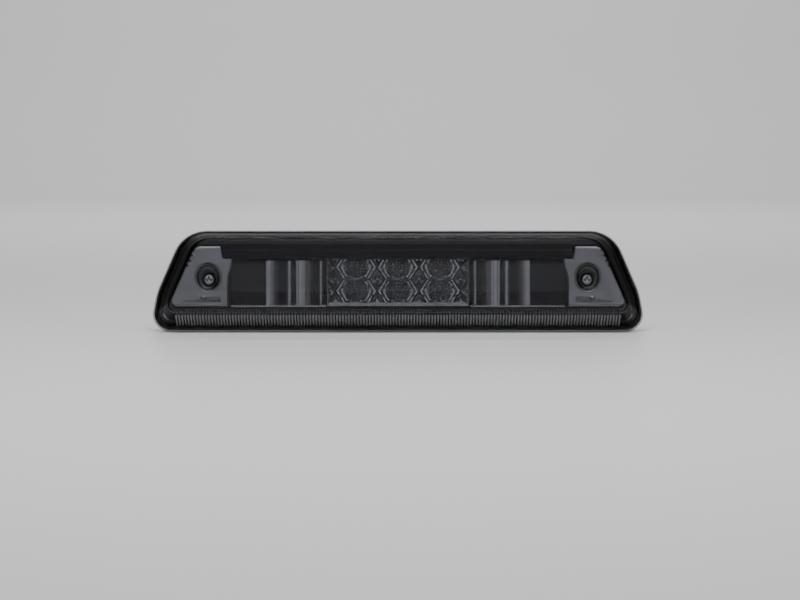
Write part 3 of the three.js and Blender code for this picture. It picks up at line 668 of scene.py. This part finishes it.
def round_corners(corners, steps=4, closed=True):
    """Points of a path given as (a, b, radius) corners, each rounded by an arc tangent to both sides.
    The arc starts before the corner by its radius times the tangent of half the turn."""
    flat = np.array([corner[:2] for corner in corners], float)
    path = []
    for number, (*_, radius) in enumerate(corners):
        inner = closed or 0 < number < len(corners) - 1
        here = flat[number]
        if not radius or not inner:
            path.append(here[None])
            continue
        ahead = flat[(number + 1) % len(flat)] - here
        behind = here - flat[number - 1]
        ahead, behind = ahead / np.linalg.norm(ahead), behind / np.linalg.norm(behind)
        cross = behind[0] * ahead[1] - behind[1] * ahead[0]
        turn = math.atan2(cross, behind @ ahead)
        start = here - behind * radius * math.tan(abs(turn) / 2)
        inwards = np.array([-behind[1], behind[0]]) * math.copysign(radius, turn)
        angle = np.linspace(0, abs(turn), steps + 1)[:, None]
        path.append(start + (1 - np.cos(angle)) * inwards + np.sin(angle) * behind * radius)
    return np.concatenate(path)


def even_steps(path, count):
    """A closed path cut into count equal lengths."""
    loop = np.concatenate([path, path[:1]])
    run = np.concatenate([[0], np.cumsum(np.linalg.norm(np.diff(loop, axis=0), axis=1))])
    at = np.linspace(0, run[-1], count, endpoint=False)
    return np.stack([np.interp(at, run, loop[:, 0]), np.interp(at, run, loop[:, 1])], axis=1)


def panel_shell(side, columns=420, rows=90):
    """A sheet between an oval window and the panel's outline. A point is a share of the way from one to
    the other, and its depth is the sum of the rolled edges, the slot, the nub and the ledge."""
    outline = round_corners([
        (134, 20.9, 1), (175.6, 20.9, 4), (179.2, 25.2, 3), (175.2, 35.4, 12), (160.8, 66.2, 3),
        (156.5, 68.4, 2), (139.6, 68.4, 1.4), (137.6, 59.4, 0.6), (130.4, 59.2, 0.8), (130.8, 54.5, 3),
        (133.8, 44, 8)], 6)
    edge = even_steps(outline, columns)
    tooth = TOOTH_DEEP * np.clip(np.cos(edge[:, 1] * 2 * math.pi / TOOTH_PITCH), 0, 1) ** 0.6
    on_teeth = smooth_step(50, 52, edge[:, 1]) * (1 - smooth_step(66.5, 67.5, edge[:, 1]))
    edge[:, 0] -= tooth * on_teeth * (edge[:, 0] > 158)
    centre = np.array([WELL_X, 44.5])
    ray = edge - centre
    angle = np.arctan2(ray[:, 1], ray[:, 0])
    window = centre + np.stack([9.25 * np.cos(angle), 11 * np.sin(angle)], axis=1)
    share = (np.linspace(0, 1, rows) ** 1.15)[:, None, None]
    flat = window + (edge - window) * share
    x, height = flat[:, :, 0], flat[:, :, 1]
    from_edge = np.linalg.norm(edge - flat, axis=2)
    from_window = np.linalg.norm(flat - window, axis=2)
    depth = np.full(x.shape, PANEL_FRONT)
    depth += 0.9 * (1 - smooth_step(0, 1.1, from_edge))
    depth -= 0.5 * np.exp(-((from_window - 0.9) / 0.5) ** 2) - 0.6 * (1 - smooth_step(0, 0.5, from_window))
    slot_tall = 1.4 + 3.4 * (1 - smooth_step(144, 166, x))
    in_slot = smooth_step(139.6, 140.4, x) * (1 - smooth_step(166, 170.5, x))
    climb = (height - 24.6) / slot_tall
    in_slot *= smooth_step(0, 0.12, climb) * (1 - smooth_step(0.88, 1, climb))
    depth += (0.8 + 0.3 * (170.5 - x)) * in_slot
    depth -= 3 * np.exp(-(((x - 153.6) / 1.2) ** 2 + ((height - 27.4) / 1.2) ** 2))
    depth -= 0.9 * (1 - smooth_step(22.4, 23.4, height)) * smooth_step(0, 0.8, from_edge)
    front = np.stack([x, depth, height], axis=-1)
    back = front[::-1].copy()
    back[:, :, 1] = PANEL_BACK + 0.9 * (1 - smooth_step(0, 1.1, from_edge[::-1]))
    back[:, :, 1] = np.maximum(back[:, :, 1], front[::-1][:, :, 1] + 0.5)
    points = np.concatenate([front, back]).reshape(-1, 3) * MM
    points[:, 2] += LAMP_LOW
    points[:, 0] *= side
    return points, grid_faces(2 * rows, columns, wrap_rows=True, wrap_columns=True)


peg_profile = np.array([(0, -25.2), (2.4, -25.2), (1.9, -7), (1.5, -6.3), (0, -6.3)]) * MM
for side_name, side in (("left", -1), ("right", 1)):
    node = f"{side_name}_end_panel"
    pegs = [turned_shell(peg_profile, (side * x * MM, 0, up(height)), 24)
            for x, height in ((140, 31), (170, 30), (150, 62))]
    shelf = box_shell((side * 136 * MM, -24.7 * MM, up(20.9)), (side * 172 * MM, -20 * MM, up(22)))
    panel_shells = [panel_shell(side), shelf, *pegs]
    make_piece(node + "_sheet", panel_shells, satin_coat, [node], crease=50)

# -------------------------------------------------------------------------------------------- visor
# A satin black moulding across the top. Its apron falls in three soft steps over the flutes and hides
# the cargo LEDs; the strip above it follows the lens to both ends.
visor_black = moulded("visor_black", (0.016, 0.016, 0.018), 0.3, grain=0.8, depth=0.01)


def lamp_outline(bottom, side, top, fine=12):
    """Right half of the lamp's outline in millimetres, pulled in by bottom, side and top, from the
    middle of the bottom edge round to the middle of the top. Each pair of shifted edges meets at a
    sharp corner, which an arc tangent to both replaces."""
    corners = np.array([[0, 0], [197.3, 0], [191.6, 30.9], [170, 80], [0, 80]], float)
    inset = [bottom, side, side, top]
    along = np.diff(corners, axis=0)
    along /= np.linalg.norm(along, axis=1)[:, None]
    inward = np.stack([-along[:, 1], along[:, 0]], axis=1)
    starts = corners[:-1] + inward * np.array(inset)[:, None]
    radii = [(13.5, 0.55, 4.4), (60, 4, 8), (28, 1.3, 12)]
    path = [np.array([[0, bottom]])]
    for number, (radius, shrink, least) in enumerate(radii):
        before, after = along[number], along[number + 1]
        gap = starts[number + 1] - starts[number]
        cross = before[0] * after[1] - before[1] * after[0]
        run = (gap[0] * after[1] - gap[1] * after[0]) / cross
        sharp = starts[number] + before * run
        radius = max(least, radius - shrink * (inset[number] + inset[number + 1]) / 2)
        turn = math.acos(before @ after)
        start = sharp - before * radius * math.tan(turn / 2)
        angle = np.linspace(0, turn, fine + 1)[:, None]
        path.append(start + radius * (np.sin(angle) * before + (1 - np.cos(angle)) * inward[number]))
    return np.concatenate([*path, [[0, 80 - top]]])


def lens_room(y):
    """How far the lens's inner wall is pulled in at a depth in millimetres: bottom, side, top."""
    stations = [-28.4, -27.4, -11, -6.3]
    return [np.interp(y, stations, values) for values in
            ((19.6, 18.2, 8, 8), (14.6, 13.4, 6.2, 6.2), (7, 5.8, 4.1, 4.1))]


def cross_bar(section, half_lengths):
    """A closed section of (y, height) carried along X, each of its points to its own half length."""
    across = np.linspace(-1, 1, 9)
    points = np.concatenate([np.column_stack([half_lengths * share, section]) for share in across])
    columns = len(section)
    last = (len(across) - 1) * columns
    faces = grid_faces(len(across), columns, wrap_columns=True)
    faces += [fill_face(points, [row + np.arange(columns)], 0) for row in (0, last)]
    points = points * MM
    points[:, 2] += LAMP_LOW
    return points, faces


apron = round_corners([
    (-27.2, 58.9, 0.3), (-25.8, 58.9, 0.3), (-25.8, 63, 0), (-13.2, 63, 0.3), (-13.2, 64.4, 0.3),
    (-23.6, 64.4, 0), (-23.6, 69.4, 0), (-24.9, 69.4, 0), (-24.9, 66, 0.5), (-26.2, 65.2, 0.5),
    (-26.2, 62, 0.4), (-27.2, 61.2, 0.4)], 4)
strip = round_corners([
    (-24.9, 69.2, 0.2), (-23.2, 69.2, 0), (-23.2, 72.8, 0.4), (-6.4, 72.8, 0), (-6.4, 74.1, 0),
    (-22.9, 74.1, 1.2), (-23.9, 71.4, 0.5), (-24.9, 70.4, 0.4)], 4)


def reach_at(y, height):
    """Half width of the room inside the lens at a depth and a height, less a little clearance."""
    half = lamp_outline(*(inset + 0.7 for inset in lens_room(y)))
    return np.interp(height, half[1:-1, 1], half[1:-1, 0])


strip_half = np.array([reach_at(y, height) for y, height in strip])
visor_shells = [cross_bar(apron, np.full(len(apron), 137.0)), cross_bar(strip, strip_half)]
make_piece("visor_moulding", visor_shells, visor_black, ["visor"], crease=30)

# --------------------------------------------------------------------------------- lens seal, gasket
# A rubber bead in the groove between lens and housing, and a ring of closed-cell foam that follows
# the outline on the back of the plate and is squeezed against the cab.


def whole_ring(half, count):
    """The full outline from its right half, cut into equal lengths, in metres."""
    left = half[-2:0:-1] * [-1, 1]
    ring = even_steps(np.concatenate([half, left]), count) * MM
    ring[:, 1] += LAMP_LOW
    return ring


def outline_bead(section, count=720):
    """A closed section of (inset, y) carried round the lamp's outline."""
    rings = [whole_ring(lamp_outline(inset, inset, inset), count) for inset, _ in section]
    points = np.concatenate([np.column_stack([ring[:, 0], np.full(count, y * MM), ring[:, 1]])
                             for ring, (_, y) in zip(rings, section)])
    return points, grid_faces(len(section), count, wrap_rows=True, wrap_columns=True)


rubber_black = moulded("rubber_black", (0.02, 0.02, 0.02), 0.75, grain=0.3, depth=0.03)
seal_section = round_corners([(2.4, -7.6, 0.4), (3.9, -7.6, 0.4), (3.9, -6.3, 0.4), (2.4, -6.3, 0.4)], 3)
make_piece("lens_seal_bead", [outline_bead(seal_section)], rubber_black, ["lens_seal"])

foam_black = moulded("foam_black", (0.028, 0.028, 0.03), 0.95, grain=0.7, depth=0.05)
foam_nodes, foam_links = foam_black.node_tree.nodes, foam_black.node_tree.links
pores = add(foam_nodes, "ShaderNodeTexVoronoi", Scale=1 / (0.9 * MM))
pore_relief = add(foam_nodes, "ShaderNodeBump", Strength=0.9, Distance=0.16 * MM)
foam_links.new(foam_nodes["Texture Coordinate"].outputs["Object"], pores.inputs["Vector"])
foam_links.new(pores.outputs["Distance"], pore_relief.inputs["Height"])
foam_links.new(pore_relief.outputs["Normal"], foam_nodes["Principled BSDF"].inputs["Normal"])
foam_section = round_corners([(3.2, -2.7, 0.2), (10.4, -2.7, 0.2), (10.4, 0, 0.7), (3.2, 0, 0.7)], 4)
make_piece("cab_gasket_foam", [outline_bead(foam_section)], foam_black, ["cab_gasket"])

# --------------------------------------------------------------------------------------------- lens
# One smoked acrylic cap, 2.6 mm thick: a flat face, a bevel all round, a welding rim and an oval
# screw well at each end. The bottom and top bevels are reeded with upright ribs, their crests painted
# lighter as highlights. Painted light also runs along the bottom of the face's edge and inside the wells.
RIB_PITCH = 2.35
PER_RIB = 6
BOTTOM_RIBS = 75
TOP_RIBS = 76
SIDE_STEPS = 96
RIB_TALL = 0.6
# Painted highlight on the rib crests.
RIB_PAINTED_LIGHT = 0.34
# A faint white share on the welding rim.
RIM_WHITE_SHARE = 0.03
FACE_BACK = -28.4
WELL_FLOOR = -13.4
SCREW_HEIGHT = 41.8
bottom_x = np.arange(BOTTOM_RIBS * PER_RIB + 1) * RIB_PITCH / PER_RIB


def rib_ring(bottom, side, top):
    """Half an outline as lens columns: the bottom ribs stand at fixed X, and from the last of them the
    rest is shared out by length, first the side and then the ribs of the top edge."""
    half = lamp_outline(bottom, side, top, 24)
    widest = np.argmax(half[:, 0])
    foot = np.interp(bottom_x, half[:widest + 1, 0], half[:widest + 1, 1])
    run = np.concatenate([[0], np.cumsum(np.linalg.norm(np.diff(half, axis=0), axis=1))])
    start = np.interp(bottom_x[-1], half[:widest + 1, 0], run[:widest + 1])
    shoulder = run[-1] - (TOP_RIBS * RIB_PITCH - top)
    at = np.concatenate([np.linspace(start, shoulder, SIDE_STEPS + 1)[1:],
                         np.linspace(shoulder, run[-1], TOP_RIBS * PER_RIB + 1)[1:]])
    rest = np.stack([np.interp(at, run, half[:, 0]), np.interp(at, run, half[:, 1])], axis=1)
    return np.concatenate([np.stack([bottom_x, foot], axis=1), rest])


def rib_wave(top_share=1.0):
    """How far each column of half an outline stands out, as the size of a sine from 0 in a valley to 1
    on a rib: all of it along the bottom, none at the side, and top_share of it along the top."""
    bottom = np.abs(np.sin(np.arange(len(bottom_x)) * math.pi / PER_RIB))
    top = np.abs(np.sin(np.arange(1, TOP_RIBS * PER_RIB + 1) * math.pi / PER_RIB))
    fade = smooth_step(0, 10 * PER_RIB, np.arange(1, TOP_RIBS * PER_RIB + 1))
    return np.concatenate([bottom, np.zeros(SIDE_STEPS), top * fade * top_share])


def lens_row(y, bottom, side, top, ribs=0, painted_light=0.0):
    """One closed row of lens points at depth y: half an outline and its mirror image, pushed out along
    the outline's own normal where the ribs stand. The fourth column is the point's white share: the
    painted light given, plus painted highlights on the rib crests."""
    half = rib_ring(bottom, side, top)
    slope = np.gradient(half, axis=0)
    normal = np.stack([slope[:, 1], -slope[:, 0]], axis=1)
    normal /= np.linalg.norm(normal, axis=1)[:, None]
    half = half + normal * (rib_wave() * ribs)[:, None]
    half[0, 0] = half[-1, 0] = 0
    ring = np.concatenate([half, half[-2:0:-1] * [-1, 1]])
    # Painted highlights: white on the rib crests makes the ribs read as pale stripes, in place of light the
    # lens would refract.
    crest = rib_wave(0.05) ** 2 * RIB_PAINTED_LIGHT if ribs else np.zeros(len(half))
    white_share = painted_light + np.concatenate([crest, crest[-2:0:-1]])
    return np.column_stack([ring[:, 0], np.full(len(ring), y), ring[:, 1], white_share])


def along_foot(value):
    """A value for each column of a row: the one given along the bottom ribs and 0 round the rest."""
    foot = value * (1 - smooth_step(0, 12, np.arange(len(rib_wave())) - len(bottom_x)))
    return np.concatenate([foot, foot[-2:0:-1]])


EDGE_INSET = (16.2, 11.4, 3.4)


def bevel_row(share, ribs=0):
    """A row part of the way up the bevel from the rim to the edge of the face."""
    foot, crest = np.array([-11.2, 5, 3.4, 1.6]), np.array([-29, *EDGE_INSET])
    return lens_row(*(foot + (crest - foot) * share), ribs)


def edge_rows(steps=7):
    """The rounded edge of the face, a quarter of an ellipse between the bevel and the face."""
    rows = []
    for turn in np.linspace(0, math.pi / 2, steps)[1:]:
        inset = EDGE_INSET + np.array([2.4, 1.8, 1.6]) * (1 - math.cos(turn))
        # Painted light: a white share along the bottom of the face's rounded edge stands in for a bright line
        # of light.
        white_share = along_foot(0.16 * math.cos(turn) ** 2)
        rows.append(lens_row(-29 - 2 * math.sin(turn), *inset, painted_light=white_share))
    return rows


outer_rows = [
    lens_row(-6.3, 0.3, 0.3, 0.3), lens_row(-6.6, 0, 0, 0),
    lens_row(-9.2, 0, 0, 0, painted_light=RIM_WHITE_SHARE * 0.5), lens_row(-9.75, 0.15, 0.15, 0.12, painted_light=RIM_WHITE_SHARE),
    lens_row(-10.15, 0.5, 0.45, 0.3, painted_light=RIM_WHITE_SHARE), lens_row(-10.3, 1, 0.85, 0.5, painted_light=RIM_WHITE_SHARE),
    lens_row(-10.3, 2.6, 1.5, 0.85, painted_light=RIM_WHITE_SHARE * 0.7),
    lens_row(-10, 2.9, 1.7, 0.95), lens_row(-9.7, 3.2, 1.9, 1.05), lens_row(-9.7, 4.1, 2.6, 1.25),
    lens_row(-10.2, 4.5, 3, 1.4), lens_row(-10.9, 4.8, 3.2, 1.5),
    bevel_row(0), bevel_row(0.02), bevel_row(0.05, RIB_TALL), bevel_row(0.3, RIB_TALL),
    bevel_row(0.6, RIB_TALL), bevel_row(0.87, RIB_TALL), bevel_row(0.9), bevel_row(0.95), bevel_row(1),
    *edge_rows(), lens_row(-31, 19.4, 14, 5.8),
]
inner_rows = [
    lens_row(FACE_BACK, 20.6, 15.6, 8), lens_row(FACE_BACK, 19.6, 14.6, 7), lens_row(-28.1, 18.8, 13.9, 6.3),
    lens_row(-27.4, 18.2, 13.4, 5.8), lens_row(-19, 13.1, 9.8, 4.9), lens_row(-11, 8, 6.2, 4.1),
    lens_row(-7.9, 8, 6.2, 4.1), lens_row(-7.9, 2, 2, 2), lens_row(-6.3, 2, 2, 2),
]


def well_rows(side, columns=96):
    """Rings of one screw well from its mouth in the face, down the oval cone to the floor, through the
    screw hole, and back up the outside of the cone to the inner face. The ring's middle and its two
    half widths go evenly from the mouth's to the floor's with depth."""
    mouth_y = -31.5

    def cone(y, extra, sunk=0.0):
        share = np.clip((y - mouth_y) / (WELL_FLOOR - mouth_y), 0, 1)
        wide, tall = 7.4 - 1.2 * share + extra, 9.1 - 2.9 * share + extra
        return y + sunk, wide, tall, SCREW_HEIGHT + 3.1 * (1 - share)

    rings = [cone(-31, 1.7), cone(-31, 1.1), cone(-31, 0.6, 0.12), cone(-31, 0.2, 0.5), cone(-30, 0)]
    rings += [cone(y, 0) for y in np.linspace(-29, -14.6, 9)]
    rings.append(cone(-13.7, -0.3))
    rings += [(y, radius, radius, SCREW_HEIGHT) for y, radius in (
        (WELL_FLOOR, 5.2), (WELL_FLOOR, 3.75), (-13.1, 3.45), (-11, 3.45), (-11, 6.8), (-11.8, 7.6))]
    rings += [cone(y, 1.4) for y in np.linspace(-14, -27.6, 8)]
    rings += [cone(-28.2, 1.8), cone(FACE_BACK, 2.4)]
    angle = np.arange(columns) * 2 * math.pi / columns
    # Painted light: a white share on the walls deep in the well lightens them where the lamps barely reach.
    painted_light = np.interp([y for y, *_ in rings], [-31, -29.5, -27, WELL_FLOOR, -13.1], [0, 0, 0.22, 0.3, 0])
    return [np.column_stack([side * WELL_X + wide * np.cos(angle), np.full(columns, y),
                             height + tall * np.sin(angle), np.full(columns, white_share)])
            for (y, wide, tall, height), white_share in zip(rings, painted_light)]


def lens_shell():
    """The outer and inner rows joined at the rim, and two flat faces with a hole for each well."""
    rows = [*inner_rows, *outer_rows]
    columns = len(rows[0])
    points = [np.concatenate(rows)]
    faces = grid_faces(len(rows), columns, wrap_columns=True)
    count = len(rows) * columns
    face_loops = [count - columns + np.arange(columns)]
    back_loops = [np.arange(columns)]
    for side in (-1, 1):
        rings = well_rows(side)
        width = len(rings[0])
        points.append(np.concatenate(rings))
        faces += [group + count for group in grid_faces(len(rings), width, wrap_columns=True)]
        face_loops.append(count + np.arange(width))
        back_loops.append(count + (len(rings) - 1) * width + np.arange(width))
        count += len(rings) * width
    points = np.concatenate(points)
    painted_light = points[:, 3]
    points = points[:, :3] * MM
    points[:, 2] += LAMP_LOW
    faces += [fill_face(points, face_loops, 1), fill_face(points, back_loops, 1)]
    return points, faces, painted_light


smoked_acrylic = acrylic("smoked_acrylic", [(0.6, 0.6, 0.61), (0.65, 0.65, 0.665)], (0.45, 0.45, 0.46),
                         0.06, 1.4, (0.6, 0.61, 0.62), 8.33 * MM, 0.01 * MM)
cap_points, cap_faces, cap_painted_light = lens_shell()
make_piece("lens_cap", [(cap_points, cap_faces)], smoked_acrylic, ["lens"],
           crease=32, painted_light=cap_painted_light)

# -------------------------------------------------------------------------- connector header, vents
# A four-way socket with a collar outside the rear box and four tinned pins, and two rubber caps over
# the breather holes.
refine("connector_header", black_abs, 0.25 * MM)
tinned_brass = moulded("tinned_brass", (0.68, 0.6, 0.42), 0.25, 1.0, grain=0.3, depth=0.01)
for number in range(1, 5):
    refine(f"header_pin_{number}", tinned_brass, 0.12 * MM)


def node_axis(node):
    """Middle of a node's box in X and Z, at Y 0."""
    low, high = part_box(node)
    return (low.x + high.x) / 2, 0, (low.z + high.z) / 2


for side_name in ("left", "right"):
    node = f"{side_name}_breather_vent"
    low, high = (corner.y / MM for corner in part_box(node))
    cap_start = high - 2.7
    profile = round_corners([
        (0, low, 0), (1.7, low, 0), (2.1, low + 0.6, 0), (2.1, cap_start, 0), (4.6, cap_start, 0.3),
        (4.6, high - 0.9, 0.7), (3, high, 0.8), (1.2, high, 0.3), (0.9, high - 0.5, 0.2),
        (0, high - 0.5, 0)], 4, closed=False)
    cap = turned_shell(profile * MM, node_axis(node), 48)
    make_piece(node + "_cap", [cap], rubber_black, [node])

# ------------------------------------------------------------------------------------------- screws
# Zinc-plated cross-head screws. An M6 screw in each well turns in a steel sleeve through the housing
# with a rubber washer under its head; small ones hold the two main boards.
zinc = moulded("zinc_plate", (0.27, 0.275, 0.29), 0.4, 1.0, grain=0.35, depth=0.012, mottle=0.1, patch=5)


def threaded_screw(centre, crown, under, tip, head_radius, shank_radius, thread_pitch, thread_from, columns):
    """A head, a neck and a helical thread as one grid round Y. The thread's radius dips by 0.6 of its
    pitch as a triangle wave of the distance along less the turn's share of a pitch; the cross recess
    sinks the crown within a tapered plus sign."""
    angle = np.arange(columns) * 2 * math.pi / columns
    rows = []
    tall = under - crown
    recess_half, recess_reach, recess_deep = 0.13 * head_radius, 0.56 * head_radius, 0.62 * tall
    for radius in np.linspace(0.02, 0.64, 22) * head_radius:
        x, z = np.abs(radius * np.cos(angle)), np.abs(radius * np.sin(angle))
        near = np.minimum(x, z)
        inside = (1 - smooth_step(recess_half * 0.8, recess_half * 1.25, near))
        inside *= 1 - smooth_step(recess_reach * 0.9, recess_reach * 1.02, np.maximum(x, z))
        taper = 1 - 0.45 * radius / recess_reach
        rows.append((np.full(columns, radius), crown + recess_deep * inside * np.clip(taper, 0, 1)))
    for turn in np.linspace(0, math.pi / 2, 8):
        rows.append((np.full(columns, head_radius * (0.68 + 0.32 * math.sin(turn))),
                     np.full(columns, crown + 0.72 * tall * (1 - math.cos(turn)))))
    neck = [(head_radius, under - 0.04 * tall), (head_radius * 0.985, under),
            (shank_radius, under), (shank_radius, thread_from)]
    rows += [(np.full(columns, radius), np.full(columns, y)) for radius, y in neck]
    steps = max(8, int((tip - thread_from) / thread_pitch * 8))
    for y in np.linspace(thread_from, tip, steps + 1)[1:]:
        phase = (y / thread_pitch - angle / (2 * math.pi)) % 1
        dip = 0.6 * thread_pitch * (1 - np.abs(2 * phase - 1))
        fade = smooth_step(thread_from, thread_from + thread_pitch, y)
        point = 1 - 0.35 * smooth_step(tip - 1.2 * thread_pitch, tip, y)
        rows.append(((shank_radius - dip * fade) * point, np.full(columns, y)))
    radius = np.stack([row[0] for row in rows])
    y = np.stack([row[1] for row in rows])
    points = np.stack([radius * np.cos(angle), y, radius * np.sin(angle)], axis=-1)
    flat = points.reshape(-1, 3)
    faces = grid_faces(len(rows), columns, wrap_columns=True)
    last = (len(rows) - 1) * columns
    faces.append(np.arange(columns)[None, ::-1])
    faces.append(np.arange(last, last + columns)[None])
    return flat + np.array(centre), faces


for side_name in ("left", "right"):
    body = f"{side_name}_screw"
    node = f"{side_name}_mounting_screw"
    low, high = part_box(node)
    under = low.y + 3.3 * MM
    screw = threaded_screw(node_axis(node), low.y, under, high.y, 4.75 * MM, 2.95 * MM, 1 * MM, -8 * MM, 96)
    make_piece(node + "_m6", [screw], zinc, [node], body=body, crease=40)
    node = f"{side_name}_screw_washer"
    low, high = (corner.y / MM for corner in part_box(node))
    profile = round_corners([(3.2, low, 0.25), (5.2, low, 0.3), (5.2, high, 0.3), (3.2, high, 0.25)], 4)
    washer = turned_shell(profile * MM, node_axis(node), 64)
    make_piece(node + "_ring", [washer], rubber_black, [node], body=body)
    node = f"{side_name}_compression_sleeve"
    low, high = (corner.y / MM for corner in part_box(node))
    profile = round_corners([(3.35, low, 0.2), (4.15, low, 0.2), (4.15, high, 0.2), (3.35, high, 0.2)], 4)
    make_piece(node + "_tube", [turned_shell(profile * MM, node_axis(node), 64)], zinc, [node])
    for board in ("led_board", "driver_board"):
        node = f"{side_name}_{board}_screw"
        low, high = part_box(node)
        under = low.y + 1.9 * MM
        screw = threaded_screw(node_axis(node), low.y, under, high.y, 2.7 * MM, 1.4 * MM, 0.9 * MM,
                               under + MM, 48)
        make_piece(node + "_m3", [screw], zinc, [node], crease=40)

# ---------------------------------------------------------------------------------- floor and light
# A pale studio floor of painted board just under the lamp's bottom edge, which sweeps up behind the
# lamp. Soft boxes stand over it and in front of it, strips at its sides, and a wash lights the sweep.
floor_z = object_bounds()[0].z - 0.05 * MM
pale = moulded("pale_floor", (0.62, 0.62, 0.63), 0.4, grain=2, depth=0.01, mottle=0.01, patch=300)
climb = np.linspace(0, math.pi / 2, 24)
sweep = np.concatenate([[[-5, 0]], np.column_stack([2.9 + np.sin(climb), 1 - np.cos(climb)]), [[3.9, 4]]])
sweep[:, 1] += floor_z
floor_points = np.concatenate([np.column_stack([np.full(len(sweep), x), sweep]) for x in (-6, 6)])
floor_mesh = bpy.data.meshes.new("floor")
floor_mesh.from_pydata(floor_points.tolist(), [], grid_faces(2, len(sweep))[0][:, ::-1].tolist())
floor_mesh.polygons.foreach_set("use_smooth", np.ones(len(floor_mesh.polygons), bool))
floor_mesh.materials.append(pale)
floor = bpy.data.objects.new("floor", floor_mesh)
bpy.context.scene.collection.objects.link(floor)


def soft_light(name, place, target, wide, tall, power):
    """A flat rectangular light at place that faces target."""
    lamp = bpy.data.lights.new(name, "AREA")
    lamp.shape = "RECTANGLE"
    lamp.size, lamp.size_y = wide, tall
    lamp.energy = power
    light = bpy.data.objects.new(name, lamp)
    light.location = place
    light.visible_camera = False
    light.rotation_mode = "QUATERNION"
    light.rotation_quaternion = (Vector(target) - Vector(place)).to_track_quat("-Z", "Y")
    bpy.context.scene.collection.objects.link(light)


soft_light("top_softbox", (0, -0.7, 1.35), (0, 0.1, 0), 1.5, 0.7, 30)
soft_light("front_fill", (0, -2.15, 0.47), (0, 0, 0), 1.55, 0.5, 0.95)
soft_light("front_key", (0, -2.1, 0.45), (0, 0, 0), 0.5, 0.46, 0.7)
soft_light("front_high", (0, -1.65, 0.98), (0, 0, 0), 1.2, 0.4, 9)
for side in (-1, 1):
    soft_light("side_strip", (side * 1.15, -0.75, 0.34), (0, 0, 0), 0.14, 0.6, 1.2)
    soft_light("high_strip", (side * 0.8, -1.0, 0.85), (0, 0, 0), 0.12, 0.5, 1.6)
soft_light("rear_wash", (0, 1.6, 2.2), (0, 3.2, 0.3), 2.6, 0.8, 85)
world = bpy.data.worlds.new("studio")
world.use_nodes = True
world.node_tree.nodes["Background"].inputs["Color"].default_value = (0.9, 0.93, 1, 1)
world.node_tree.nodes["Background"].inputs["Strength"].default_value = 0.035
bpy.context.scene.world = world

# ------------------------------------------------------------------------------------------- camera
# A long lens straight in front of the lamp and a little above it, aimed just below its middle so
# that the lamp sits above the middle of the picture.
camera_data = bpy.data.cameras.new("camera")
camera_data.sensor_width = 36
camera_data.lens = 136
camera_data.clip_end = 50
camera = bpy.data.objects.new("camera", camera_data)
bpy.context.scene.collection.objects.link(camera)
aim = Vector((1.6 * MM, -8 * MM, -15 * MM))
distance, elevation = 2.4, math.radians(4)
camera.location = aim + Vector((0, -distance * math.cos(elevation), distance * math.sin(elevation)))
camera.rotation_mode = "QUATERNION"
camera.rotation_quaternion = (aim - camera.location).to_track_quat("-Z", "Y")
bpy.context.scene.camera = camera
